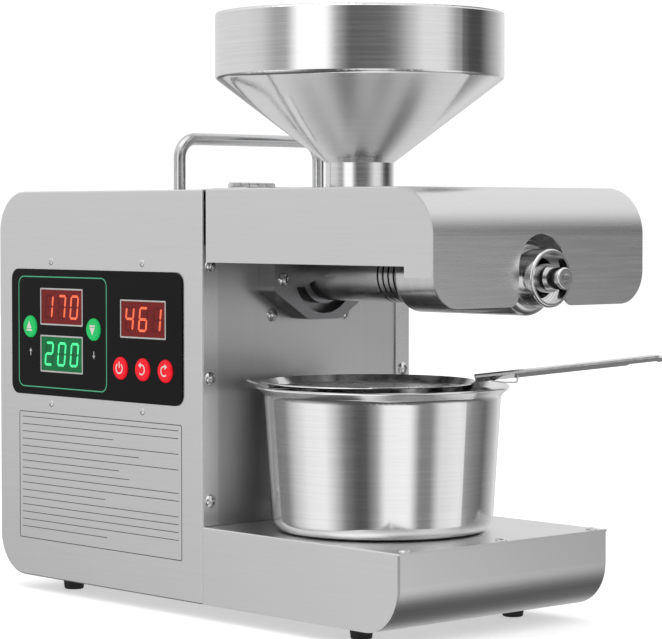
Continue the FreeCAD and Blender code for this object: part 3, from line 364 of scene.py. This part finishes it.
def print_shapes(bm, shapes, y, thickness):
    """Adds flat shapes of X and Z points, in millimetres, as a thin layer in front of a plane that faces -Y."""
    layer = bmesh.new()
    for shape in shapes:
        layer.faces.new([layer.verts.new((u * MM, y - thickness, v * MM)) for u, v in shape])
    bmesh.ops.remove_doubles(layer, verts=layer.verts, dist=0.001 * MM)
    made = bmesh.ops.extrude_face_region(layer, geom=layer.faces[:])
    moved = [part for part in made["geom"] if isinstance(part, bmesh.types.BMVert)]
    bmesh.ops.translate(layer, verts=moved, vec=(0, thickness, 0))
    mesh = bpy.data.meshes.new("layer")
    layer.to_mesh(mesh)
    layer.free()
    bm.from_mesh(mesh)
    bpy.data.meshes.remove(mesh)


def rounded(u, v, half_u, half_v, radius, steps=6):
    """Points of a rectangle with rounded corners."""
    points = []
    for quarter, (side_u, side_v) in enumerate(((1, 1), (-1, 1), (-1, -1), (1, -1))):
        for step in range(steps + 1):
            angle = math.pi / 2 * (quarter + step / steps)
            corner_u = u + side_u * (half_u - radius)
            corner_v = v + side_v * (half_v - radius)
            points.append((corner_u + radius * math.cos(angle), corner_v + radius * math.sin(angle)))
    return points


def band(outer, inner, closed=True):
    """Four-sided shapes between two rows of points."""
    count = len(outer) if closed else len(outer) - 1
    total = len(outer)
    return [(outer[i], outer[(i + 1) % total], inner[(i + 1) % total], inner[i]) for i in range(count)]


def arc(u, v, radius, width, start, end, steps=18):
    """An open ring: a band along part of a circle, angles in degrees."""
    rows = []
    for reach in (radius + width / 2, radius - width / 2):
        angles = [math.radians(start + (end - start) * step / steps) for step in range(steps + 1)]
        rows.append([(u + reach * math.cos(a), v + reach * math.sin(a)) for a in angles])
    return band(rows[0], rows[1], closed=False)


def colour_property(name, description, default):
    return bpy.props.FloatVectorProperty(
        name=name,
        description=description,
        default=default,
        subtype="COLOR",
        min=0.0,
        max=1.0,
    )


class PressSettings(bpy.types.PropertyGroup):
    """Sizes and colours that a user would change."""

    casing_level: bpy.props.FloatProperty(
        name="Casing brightness",
        description="How light the brushed casing sheets are",
        default=0.8,
        min=0.1,
        max=1.0,
    )
    hole_pitch: bpy.props.FloatProperty(
        name="Hole pitch",
        description="Distance between the strainer's holes",
        default=2.3 * MM,
        unit="LENGTH",
    )
    hole_size: bpy.props.FloatProperty(
        name="Hole size",
        description="Width of the strainer's holes across their corners",
        default=1.5 * MM,
        unit="LENGTH",
    )
    outline_colour: colour_property("Outline", "Thin line round the temperature controls", (0.1, 0.55, 0.3))
    red_digit: colour_property("Red digits", "Lit segments of the red displays", (1.0, 0.16, 0.07))
    green_digit: colour_property("Green digits", "Lit segments of the green display", (0.08, 1.0, 0.35))
    red_glass: colour_property("Red glass", "Glow behind the red numbers", (0.12, 0.004, 0.004))
    green_glass: colour_property("Green glass", "Glow behind the green numbers", (0.0, 0.11, 0.03))
    red_button: colour_property("Red buttons", "Caps of the three red buttons", (0.72, 0.005, 0.015))
    green_button: colour_property("Green buttons", "Caps of the two green buttons", (0.01, 0.42, 0.1))
    camera_turn: bpy.props.FloatProperty(
        name="Camera turn",
        description="Angle of the camera round the machine",
        default=math.radians(47.66),
        subtype="ANGLE",
    )
    camera_pitch: bpy.props.FloatProperty(
        name="Camera pitch",
        description="How far the camera looks down",
        default=math.radians(2.26),
        subtype="ANGLE",
    )
    camera_lens: bpy.props.FloatProperty(
        name="Lens",
        description="Focal length",
        default=141.89,
        unit="CAMERA",
    )
    camera_place: bpy.props.FloatVectorProperty(
        name="Camera place",
        description="Where the camera stands",
        default=(1.20799, -1.06554, 0.23003),
        subtype="TRANSLATION",
    )


class PRESS_OT_casing(bpy.types.Operator):
    """Rear casing, tray and carrying handle"""

    bl_idname = "press.casing"
    bl_label = "Casing"

    def execute(self, context):
        level = context.scene.press.casing_level
        side = brushed_steel("side_sheet", 0, level, 0.3)
        dress(side, "side_panel_control", "side_panel_plain", "tray_hood")
        dress(brushed_steel("wrap_sheet", 1, level, 0.28), "casing_wrap")
        dress(brushed_steel("tray_sheet", 1, level * 0.98, 0.24), "tray_front")
        dress(brushed_steel("bulkhead_sheet", 2, level * 0.85, 0.32), "front_bulkhead")
        dress(plain_metal("handle_tube", (0.66, 0.66, 0.67), 0.2), "carrying_handle")
        return {"FINISHED"}


class PRESS_OT_cover(bpy.types.Operator):
    """Hinged cover, its nose and its hinges"""

    bl_idname = "press.cover"
    bl_label = "Cover"

    def execute(self, context):
        level = context.scene.press.casing_level
        dress(brushed_steel("hood_sheet", 0, level, 0.3), "cover_hood")
        dress(brushed_steel("nose_sheet", 1, level * 0.94, 0.26, streak=0.012), "cover_nose")
        hinge = plain_metal("hinge_metal", (0.82, 0.82, 0.82), 0.16)
        dress(hinge, "hinge_leaves_casing", "hinge_leaves_cover", "hinge_pins")
        dress(plain_metal("socket_metal", (0.7, 0.7, 0.7), 0.25), "hopper_socket")
        return {"FINISHED"}


class PRESS_OT_hopper(bpy.types.Operator):
    """Spun hopper and its feed tube"""

    bl_idname = "press.hopper"
    bl_label = "Hopper"

    def execute(self, context):
        dress(turned_steel("spun_hopper", centre_of("hopper"), 2, 0.84, 0.13), "hopper")
        dress(turned_steel("spun_tube", centre_of("hopper_tube"), 2, 0.82, 0.15), "hopper_tube")
        return {"FINISHED"}


class PRESS_OT_pot(bpy.types.Operator):
    """Oil pot and the strainer with its fine perforation"""

    bl_idname = "press.pot"
    bl_label = "Pot and strainer"

    def execute(self, context):
        dress(turned_steel("spun_pot", centre_of("oil_pot"), 2, 0.84, 0.12), "oil_pot")
        polished = plain_metal("polished_strainer", (0.84, 0.84, 0.84), 0.12)
        dress(polished, "strainer_bowl", "strainer_handle", "strainer_hook", "strainer_tab")
        make_fine_mesh(context.scene.press)
        return {"FINISHED"}


def make_fine_mesh(settings):
    """Perforated disc of the strainer: six-sided holes in six-sided cells, inside a plain border."""
    middle = centre_of("strainer_mesh")
    low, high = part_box("strainer_mesh")
    radius = (high.x - low.x) / 2
    border = radius - 3 * MM
    cell = settings.hole_pitch / math.sqrt(3)
    hole = settings.hole_size / 2
    bm = bmesh.new()
    rows = int(radius / settings.hole_pitch * 1.2) + 1
    corners = [(math.cos(math.pi * k / 3 + math.pi / 6), math.sin(math.pi * k / 3 + math.pi / 6)) for k in range(6)]
    for row in range(-rows, rows + 1):
        for column in range(-rows, rows + 1):
            x = (column + 0.5 * (row % 2)) * settings.hole_pitch
            y = row * 1.5 * cell
            if math.hypot(x, y) + cell > border:
                continue
            outer = [bm.verts.new((x + cell * c, y + cell * s, 0)) for c, s in corners]
            inner = [bm.verts.new((x + hole * c, y + hole * s, 0)) for c, s in corners]
            for k in range(6):
                bm.faces.new((outer[k], outer[(k + 1) % 6], inner[(k + 1) % 6], inner[k]))
    bmesh.ops.remove_doubles(bm, verts=bm.verts, dist=0.02 * MM)
    ring = bmesh.new()
    inside = border - 1.5 * cell
    profile = [(inside, 0.0), (radius, 0.0), (radius, -0.3 * MM), (inside, -0.3 * MM), (inside, 0.0)]
    lathe(ring, profile, 96, Matrix.Translation((0, 0, -0.25 * MM)))
    made = bmesh.ops.extrude_face_region(bm, geom=bm.faces[:])
    moved = [part for part in made["geom"] if isinstance(part, bmesh.types.BMVert)]
    bmesh.ops.translate(bm, verts=moved, vec=(0, 0, -0.25 * MM))
    mesh = bpy.data.meshes.new("border")
    ring.to_mesh(mesh)
    ring.free()
    bm.from_mesh(mesh)
    bpy.data.meshes.remove(mesh)
    bm.transform(Matrix.Translation((middle.x, middle.y, high.z)))
    metal = plain_metal("perforated_sheet", (0.72, 0.72, 0.72), 0.2, scale=900.0)
    make_piece("strainer_perforation", bm, metal, "strainer", ["strainer_mesh"])


class PRESS_OT_press_line(bpy.types.Operator):
    """Barrel, flange, heater, outlet and screw"""

    bl_idname = "press.press_line"
    bl_label = "Press line"

    def execute(self, context):
        centre = centre_of("outlet_ring")
        dress(turned_steel("turned_barrel", centre, 0, 0.5, 0.22), "press_barrel")
        dress(turned_steel("heater_shell", centre, 0, 0.72, 0.2), "heater_sleeve")
        face = turned_steel("turned_outlet", centre, 0, 0.84, 0.14, 1500.0, 0.00001, 0.1)
        dress(face, "outlet_ring", "press_screw")
        dress(turned_steel("turned_shaft", centre, 0, 0.6, 0.25), "output_shaft")
        dress(plain_metal("cast_flange", (0.36, 0.36, 0.37), 0.38, scale=420.0, depth=0.00004), "barrel_flange")
        dress(plain_metal("probe_brass", (0.72, 0.52, 0.26), 0.3), "temperature_probe")
        return {"FINISHED"}


class PRESS_OT_drive(bpy.types.Operator):
    """Gearbox, motor and control board inside the casing"""

    bl_idname = "press.drive"
    bl_label = "Drive"

    def execute(self, context):
        cast = plain_metal("cast_aluminium", (0.6, 0.6, 0.61), 0.45, scale=600.0, depth=0.00005)
        dress(cast, "gearbox_housing", "gearbox_cover")
        steel = plain_metal("gear_steel", (0.45, 0.45, 0.46), 0.32)
        dress(steel, "output_gear", "layshaft", "motor_rotor")
        dress(plain_metal("bronze", (0.7, 0.5, 0.25), 0.35), "output_bearings", "layshaft_bearings")
        dress(plain_metal("can_metal", (0.75, 0.75, 0.76), 0.3), "motor_capacitor")
        dress(plain_metal("copper", (0.72, 0.38, 0.18), 0.3, scale=900.0), "motor_windings")
        dress(plain_metal("post_metal", (0.6, 0.6, 0.6), 0.3), "board_posts", "handle_nuts")
        dress(plastic("motor_enamel", (0.05, 0.05, 0.055), 0.3), "motor_housing")
        dress(plastic("fan_plastic", (0.02, 0.02, 0.02), 0.4), "motor_fan")
        dress(plastic("board", (0.02, 0.18, 0.07), 0.45), "control_board")
        return {"FINISHED"}


# Node of the screws and the way that their heads face; all of them ride on the casing.
SCREW_SETS = (
    ("tray_screws", (0, 0, 1)),
    ("flange_screws", (1, 0, 0)),
    ("bulkhead_screws", (1, 0, 0)),
    ("barrel_bolts", (1, 0, 0)),
    ("panel_screws", (0, -1, 0)),
)
HEAD_PROFILE = [(0, 0), (1.0, 0), (1.0, 0.1), (0.95, 0.3), (0.82, 0.55), (0.6, 0.78), (0.3, 0.94), (0, 1.0)]


class PRESS_OT_screws(bpy.types.Operator):
    """Cross-recessed heads of all the screws that show"""

    bl_idname = "press.screws"
    bl_label = "Screws"

    def execute(self, context):
        zinc = plain_metal("zinc", (0.82, 0.82, 0.83), 0.16, scale=500.0)
        template = cross_head()
        rng = random.Random(7)
        for node, direction in SCREW_SETS:
            bm = bmesh.new()
            for low, high in islands(node):
                size = high - low
                height = abs(size.dot(Vector(direction)))
                radius = (size.x + size.y + size.z - height) / 4
                seat = (low + high) / 2 - Vector(direction) * height / 2
                head = template.copy()
                stretch = Matrix.Diagonal((radius, radius, height, 1))
                head.transform(pointing(direction, seat, rng.uniform(0, math.pi)) @ stretch)
                bm.from_mesh(head)
                bpy.data.meshes.remove(head)
            make_piece(node + "_heads", bm, zinc, "casing", [node], 30.0)
        bpy.data.meshes.remove(template)
        return {"FINISHED"}


def cross_head():
    """Domed head of unit radius and height with a tapered cross recess."""
    bm = bmesh.new()
    lathe(bm, HEAD_PROFILE, 32, Matrix.Identity(4))
    bmesh.ops.recalc_face_normals(bm, faces=bm.faces)
    head = as_object(bm, "head")
    arm, half = 0.62, 0.13
    cross = []
    for quarter in range(4):
        turn = Matrix.Rotation(quarter * math.pi / 2, 2)
        cross += [turn @ Vector(point) for point in ((half, half), (arm, half), (arm, -half))][::-1]
    cutter = bmesh.new()
    top = [cutter.verts.new((x, y, 1.4)) for x, y in cross]
    foot = [cutter.verts.new((x * 0.55, y * 0.7, 0.3)) for x, y in cross]
    cutter.faces.new(top)
    cutter.faces.new(foot[::-1])
    for index in range(len(cross)):
        after = (index + 1) % len(cross)
        cutter.faces.new((top[index], foot[index], foot[after], top[after]))
    bmesh.ops.recalc_face_normals(cutter, faces=cutter.faces)
    tool = as_object(cutter, "cutter")
    cut = head.modifiers.new("recess", "BOOLEAN")
    cut.operation = "DIFFERENCE"
    cut.object = tool
    cut.solver = "EXACT"
    bpy.context.view_layer.update()
    template = bpy.data.meshes.new_from_object(head.evaluated_get(bpy.context.evaluated_depsgraph_get()))
    for item in (head, tool):
        mesh = item.data
        bpy.data.objects.remove(item)
        bpy.data.meshes.remove(mesh)
    return template


def as_object(bm, name):
    mesh = bpy.data.meshes.new(name)
    bm.to_mesh(mesh)
    bm.free()
    item = bpy.data.objects.new(name, mesh)
    bpy.context.scene.collection.objects.link(item)
    return item


class PRESS_OT_feet(bpy.types.Operator):
    """Moulded rubber feet with a rounded sole and a recess for their screw"""

    bl_idname = "press.feet"
    bl_label = "Feet"

    def execute(self, context):
        bm = bmesh.new()
        for low, high in islands("rubber_feet"):
            wide = (high.x - low.x) / 2
            tall = high.z - low.z
            narrow = wide - 1.2 * MM
            bore = 2.6 * MM
            profile = [
                (0, tall - 2 * MM),
                (bore, tall - 2 * MM),
                (bore, 0.6 * MM),
                (bore + 0.6 * MM, 0),
                (narrow - 0.8 * MM, 0),
                (narrow - 0.25 * MM, 0.25 * MM),
                (narrow, 0.8 * MM),
                (narrow + 0.7 * MM, tall - 2.4 * MM),
                (wide - 0.15 * MM, tall - 1.8 * MM),
                (wide, tall - 1.5 * MM),
                (wide, tall - 0.3 * MM),
                (wide - 0.3 * MM, tall),
                (0, tall),
            ]
            centre = (low + high) / 2
            lathe(bm, profile, 40, Matrix.Translation((centre.x, centre.y, low.z)))
        rubber = plastic("rubber", (0.014, 0.014, 0.014), 0.6, scale=900.0)
        make_piece("moulded_feet", bm, rubber, "casing", ["rubber_feet"])
        return {"FINISHED"}


class PRESS_OT_panel(bpy.types.Operator):
    """Black control panel, its green outline and the ruled field below it"""

    bl_idname = "press.panel"
    bl_label = "Control panel"

    def execute(self, context):
        settings = context.scene.press
        dress(plastic("black_gloss", (0.003, 0.003, 0.0035), 0.3, specular=0.12), "control_fascia")
        low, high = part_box("control_fascia")
        u, v = OUTLINE_PLACE
        outline = print_frame(u, v, *OUTLINE_HALF, OUTLINE_R, OUTLINE_STROKE)
        bm = bmesh.new()
        print_shapes(bm, outline, low.y, PRINT)
        # The green outline is a print; its emission is a painted glow that keeps it bright.
        green = glowing("outline_painted_glow", settings.outline_colour, 0.55)
        make_piece("panel_outline", bm, green, "casing", sharp=20.0)
        bm = bmesh.new()
        for node in ("button_temperature_up", "button_temperature_down"):
            middle = centre_of(node) / MM
            way = 1 if node.endswith("up") else -1
            print_shapes(bm, arrow(middle.x, middle.z - ARROW_DROP, ARROW_HALF * way), low.y, PRINT)
        # The white arrows are prints; their emission is a painted glow.
        make_piece("panel_arrows", bm, glowing("arrow_sign_painted_glow", (0.85, 0.85, 0.85), 0.3), "casing", sharp=20.0)
        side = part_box("side_panel_control")[0]
        bm = bmesh.new()
        left, right, bottom, top = FIELD
        u, v = (left + right) / 2, (bottom + top) / 2
        print_shapes(bm, print_frame(u, v, (right - left) / 2, (top - bottom) / 2, FIELD_R, FIELD_STROKE), side.y, PRINT)
        rng = random.Random(3)
        count = int((top - bottom - 2 * FIELD_MARGIN) / FIELD_PITCH) + 1
        for row in range(count):
            z = top - FIELD_MARGIN - row * FIELD_PITCH
            end = right - FIELD_MARGIN - rng.choice((0, 0, 0, 1)) * rng.uniform(20, 90)
            line = [(left + FIELD_MARGIN, z), (end, z), (end, z - FIELD_LINE), (left + FIELD_MARGIN, z - FIELD_LINE)]
            print_shapes(bm, [line], side.y, PRINT)
        ink = plastic("field_ink", (0.045, 0.045, 0.05), 0.5)
        make_piece("ruled_field", bm, ink, "casing", sharp=20.0)
        return {"FINISHED"}


PRINT = 0.06 * MM
OUTLINE_PLACE = (-118.4, 156.8)
OUTLINE_HALF = (46.3, 35.4)
OUTLINE_R = 5.5
OUTLINE_STROKE = 0.7
ARROW_DROP = 16.0
ARROW_HALF = 2.4
FIELD = (-165.7, -0.3, 24.0, 105.6)
FIELD_R = 1.5
FIELD_STROKE = 0.5
FIELD_MARGIN = 3.4
FIELD_PITCH = 4.7
FIELD_LINE = 0.45


def print_frame(u, v, half_u, half_v, radius, stroke):
    """The outline of a rounded rectangle as a band of one width."""
    outer = rounded(u, v, half_u, half_v, radius)
    inner = rounded(u, v, half_u - stroke, half_v - stroke, max(radius - stroke, 0.1))
    return band(outer, inner)


def arrow(u, v, half):
    """A small upright arrow; a negative height points it down."""
    wide, stem = abs(half) * 0.62, abs(half) * 0.16
    head = [(u - wide, v + half * 0.1), (u + wide, v + half * 0.1), (u, v + half)]
    shaft = [(u - stem, v - half), (u + stem, v - half), (u + stem, v + half * 0.1), (u - stem, v + half * 0.1)]
    return [head, shaft]


# Segments of a digit: top, upper right, lower right, bottom, lower left, upper left, middle.
SEGMENTS = {
    "0": "abcdef",
    "1": "bc",
    "2": "abdeg",
    "4": "bcfg",
    "6": "acdefg",
    "7": "abc",
}
SEGMENT_ENDS = {
    "a": ((-1, 1), (1, 1)),
    "b": ((1, 1), (1, 0)),
    "c": ((1, 0), (1, -1)),
    "d": ((-1, -1), (1, -1)),
    "e": ((-1, 0), (-1, -1)),
    "f": ((-1, 1), (-1, 0)),
    "g": ((-1, 0), (1, 0)),
}
DIGIT_HALF = (3.5, 6.9)
DIGIT_STEP = 0.31
DIGIT_SLANT = math.tan(math.radians(7))
SEGMENT_WIDTH = 1.5
FRAME_STROKE = 0.9
SHOWN = {
    "display_current_temperature": ("170", "red"),
    "display_set_temperature": ("200", "green"),
    "display_countdown": ("461", "red"),
}


class PRESS_OT_displays(bpy.types.Operator):
    """Lit displays with seven-segment numbers and white frames"""

    bl_idname = "press.displays"
    bl_label = "Displays"

    def execute(self, context):
        settings = context.scene.press
        colours = {"red": settings.red_digit, "green": settings.green_digit}
        glasses = {"red": settings.red_glass, "green": settings.green_glass}
        # The white frames round the displays are prints; their emission is a painted glow.
        white = glowing("frame_white_painted_glow", (0.9, 0.88, 0.87), 0.35)
        for shown in ("red", "green"):
            glowing("lit_" + shown, colours[shown], 1.25, 700.0, 0.1)
            glowing("unlit_" + shown, glasses[shown], 0.5, 700.0, 0.5)
            glowing("glass_" + shown, glasses[shown], 0.8, 90.0, 0.6, 0.2)
        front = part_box("control_fascia")[0].y
        frames = bmesh.new()
        for node, (digits, shown) in SHOWN.items():
            low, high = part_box(node)
            middle = centre_of(node) / MM
            half_u, half_v = (high.x - low.x) / 2 / MM, (high.z - low.z) / 2 / MM
            dress(bpy.data.materials["glass_" + shown], node)
            rim = print_frame(middle.x, middle.z, half_u + FRAME_STROKE, half_v + FRAME_STROKE, 0.6, FRAME_STROKE)
            print_shapes(frames, rim, front, PRINT)
            lit, unlit = bmesh.new(), bmesh.new()
            for index, digit in enumerate(digits):
                u = middle.x + (index - 1) * DIGIT_STEP * 2 * half_u
                for segment in SEGMENT_ENDS:
                    layer = lit if segment in SEGMENTS[digit] else unlit
                    print_shapes(layer, [segment_shape(segment, u, middle.z)], low.y, PRINT)
            make_piece(node + "_digits", lit, bpy.data.materials["lit_" + shown], "casing", sharp=20.0)
            make_piece(node + "_ghosts", unlit, bpy.data.materials["unlit_" + shown], "casing", sharp=20.0)
        make_piece("display_frames", frames, white, "casing", sharp=20.0)
        return {"FINISHED"}


def segment_shape(segment, u, v):
    """One bar of a digit with pointed ends, leaning like the whole digit."""
    half_u, half_v = DIGIT_HALF
    start, end = [Vector((x * half_u, z * half_v)) for x, z in SEGMENT_ENDS[segment]]
    along = (end - start).normalized()
    across = Vector((-along.y, along.x)) * SEGMENT_WIDTH / 2
    tip = along * SEGMENT_WIDTH / 2
    gap = along * 0.15
    start, end = start + gap, end - gap
    corners = [start, start + tip + across, end - tip + across, end, end - tip - across, start + tip - across]
    return [(u + corner.x + corner.y * DIGIT_SLANT, v + corner.y) for corner in corners]


class PRESS_OT_buttons(bpy.types.Operator):
    """Coloured button caps with their signs, both given a painted glow"""

    bl_idname = "press.buttons"
    bl_label = "Buttons"

    def execute(self, context):
        settings = context.scene.press
        # The caps and their signs are no lamps; their emission is a painted glow that keeps their colours strong.
        green = glowing("green_cap_painted_glow", settings.green_button, 0.35, 90.0, 1.0, 0.3)
        red = glowing("red_cap_painted_glow", settings.red_button, 0.35, 90.0, 1.0, 0.3)
        sign = glowing("button_sign_painted_glow", (0.95, 0.85, 0.8), 0.6)
        dress(green, "button_temperature_up", "button_temperature_down")
        dress(red, "button_power", "button_run", "button_clear")
        for node, draw in BUTTON_SIGNS.items():
            middle = centre_of(node) / MM
            bm = bmesh.new()
            print_shapes(bm, draw(middle.x, middle.z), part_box(node)[0].y, PRINT)
            make_piece(node + "_sign", bm, sign, node, sharp=20.0)
        return {"FINISHED"}


def triangle_sign(u, v, way):
    tip = [(u - 2.6, v - 1.2 * way), (u + 2.6, v - 1.2 * way), (u, v + 3.6 * way)]
    bar = [(u - 2.9, v - 2.8 * way), (u + 2.9, v - 2.8 * way), (u + 2.7, v - 1.7 * way), (u - 2.7, v - 1.7 * way)]
    return [tip, bar]


def power_sign(u, v):
    bar = [(u - 0.45, v + 0.2), (u + 0.45, v + 0.2), (u + 0.45, v + 4.0), (u - 0.45, v + 4.0)]
    return arc(u, v, 3.1, 0.9, 125, 415) + [bar]


def turning_sign(u, v, way):
    """Open ring with an arrow head at its upper end; the way says to which side it opens."""
    ring = arc(u, v, 2.9, 0.9, -130, 110)
    head = [(u - 2.9, v + 2.6), (u - 0.6, v + 4.4), (u - 0.6, v + 0.9)]
    return [[(u + (x - u) * way, z) for x, z in shape] for shape in ring + [head]]


BUTTON_SIGNS = {
    "button_temperature_up": lambda u, v: triangle_sign(u, v, 1),
    "button_temperature_down": lambda u, v: triangle_sign(u, v, -1),
    "button_power": power_sign,
    "button_run": lambda u, v: turning_sign(u, v, 1),
    "button_clear": lambda u, v: turning_sign(u, v, -1),
}


class PRESS_OT_rear(bpy.types.Operator):
    """Mains inlet and rocker switch on the rear sheet"""

    bl_idname = "press.rear"
    bl_label = "Rear fittings"

    def execute(self, context):
        dress(plastic("black_plastic", (0.02, 0.02, 0.02), 0.4), "power_inlet", "rocker_frame")
        dress(plastic("rocker_plastic", (0.5, 0.012, 0.01), 0.3), "rocker_switch")
        return {"FINISHED"}


class PRESS_OT_stage(bpy.types.Operator):
    """Pale floor, soft studio light and the camera"""

    bl_idname = "press.stage"
    bl_label = "Stage"

    def execute(self, context):
        settings = context.scene.press
        make_floor()
        make_world(context.scene)
        make_lights()
        camera = bpy.data.cameras.new("camera")
        camera.lens = settings.camera_lens
        camera.clip_end = 20.0
        holder = bpy.data.objects.new("camera", camera)
        context.scene.collection.objects.link(holder)
        holder.location = settings.camera_place
        holder.rotation_euler = (math.pi / 2 - settings.camera_pitch, 0, settings.camera_turn)
        context.scene.camera = holder
        context.scene.view_settings.view_transform = "Standard"
        return {"FINISHED"}


FLOOR_HALF = 4.0


def make_floor():
    mesh = bpy.data.meshes.new("floor")
    z = CAD_BOX[0].z
    side = FLOOR_HALF
    mesh.from_pydata([(-side, -side, z), (side, -side, z), (side, side, z), (-side, side, z)], [], [(0, 1, 2, 3)])
    floor = bpy.data.objects.new("floor", mesh)
    bpy.context.scene.collection.objects.link(floor)
    material, g = new_material("floor")
    tone = g.range(g.noise(g.place(), scale=3.0), 0.3, 0.7)
    g.surface(
        Base_Color=g.mix(tone, grey(0.84), grey(0.86)),
        Roughness=0.9,
        Specular_IOR_Level=0.0,
        Emission_Color=grey(1.0),
        Emission_Strength=0.5,
    )
    mesh.materials.append(material)
    floor.visible_glossy = False


# Brightness of the room round the machine: angle in degrees from the camera's side, positive to its right.
UPPER_RING = [
    (-180, 0.75),
    (-100, 0.76),
    (-84, 0.68),
    (-70, 0.42),
    (-60, 0.42),
    (-50, 1.25),
    (-27, 1.25),
    (-19, 0.45),
    (-9, 0.12),
    (19, 0.15),
    (28, 0.24),
    (38, 0.52),
    (50, 0.85),
    (70, 0.82),
    (82, 0.36),
    (95, 0.07),
    (110, 0.07),
    (128, 0.4),
    (157, 0.85),
    (180, 0.75),
]
LOWER_RING = [
    (-180, 0.5),
    (-157, 0.15),
    (-112, 0.25),
    (-100, 0.6),
    (-80, 0.95),
    (-60, 1.0),
    (-48, 0.6),
    (-38, 0.22),
    (-26, 0.09),
    (-17, 0.1),
    (-6, 0.4),
    (2, 1.0),
    (26, 1.05),
    (36, 0.25),
    (48, 0.25),
    (58, 0.8),
    (82, 0.95),
    (95, 0.3),
    (118, 0.14),
    (157, 0.8),
    (180, 0.5),
]


def make_world(scene):
    world = bpy.data.worlds.new("studio")
    scene.world = world
    g = Graph(world)
    direction = g.node("ShaderNodeTexCoord", output="Generated")
    settings = {"rotation_type": "Z_AXIS"}
    turned = g.node("ShaderNodeVectorRotate", settings, {"Vector": direction, "Angle": -scene.press.camera_turn})
    across = g.node("ShaderNodeSeparateXYZ", sockets={"Vector": turned}, output="X")
    away = across.sibling("Y")
    height = across.sibling("Z")
    share = g.math("ARCTAN2", across, -1.0 * away) / (2 * math.pi) + 0.5
    upper, lower = [
        g.ramp(share, [(angle / 360 + 0.5, level) for angle, level in ring]) for ring in (UPPER_RING, LOWER_RING)
    ]
    level = g.mix(g.range(height, -0.11, -0.03), lower, upper)
    level = g.mix(g.range(height, 0.12, 0.65), level, grey(0.92))
    level = g.mix(g.range(height, 0.75, 1.0), level, grey(0.62))
    level = g.mix(g.range(height, -0.8, -0.3), grey(0.1), level)
    lit_room = g.node("ShaderNodeBackground", sockets={"Color": level, "Strength": 1.0})
    white = g.node("ShaderNodeBackground", sockets={"Color": grey(1.0), "Strength": 1.05})
    seen = g.node("ShaderNodeLightPath", output="Is Camera Ray")
    both = g.node("ShaderNodeMixShader", sockets={0: seen, 1: lit_room, 2: white})
    g.node("ShaderNodeOutputWorld", sockets={"Surface": both})


def make_lights():
    light = bpy.data.lights.new("overhead", "AREA")
    light.size = 1.6
    light.energy = 6.0
    holder = bpy.data.objects.new("overhead", light)
    holder.location = (0.2, -0.5, 1.8)
    holder.rotation_euler = (math.radians(16), 0, 0)
    bpy.context.scene.collection.objects.link(holder)


class PRESS_PT_sidebar(bpy.types.Panel):
    """Lists the operators in the order in which they run"""

    bl_idname = "PRESS_PT_sidebar"
    bl_label = "Oil press"
    bl_space_type = "VIEW_3D"
    bl_region_type = "UI"
    bl_category = "Oil press"

    def draw(self, context):
        self.layout.prop(context.scene.press, "casing_level")
        for operator in OPERATORS:
            self.layout.operator(operator.bl_idname)


OPERATORS = (
    PRESS_OT_casing,
    PRESS_OT_cover,
    PRESS_OT_hopper,
    PRESS_OT_pot,
    PRESS_OT_press_line,
    PRESS_OT_drive,
    PRESS_OT_screws,
    PRESS_OT_feet,
    PRESS_OT_panel,
    PRESS_OT_displays,
    PRESS_OT_buttons,
    PRESS_OT_rear,
    PRESS_OT_stage,
)
CLASSES = (PressSettings, *OPERATORS, PRESS_PT_sidebar)


def register():
    for kind in CLASSES:
        bpy.utils.register_class(kind)
    bpy.types.Scene.press = bpy.props.PointerProperty(type=PressSettings)


def unregister():
    del bpy.types.Scene.press
    for kind in reversed(CLASSES):
        bpy.utils.unregister_class(kind)


def main():
    register()
    for operator in OPERATORS:
        group, name = operator.bl_idname.split(".")
        getattr(getattr(bpy.ops, group), name)()


if __name__ == "__main__":
    main()
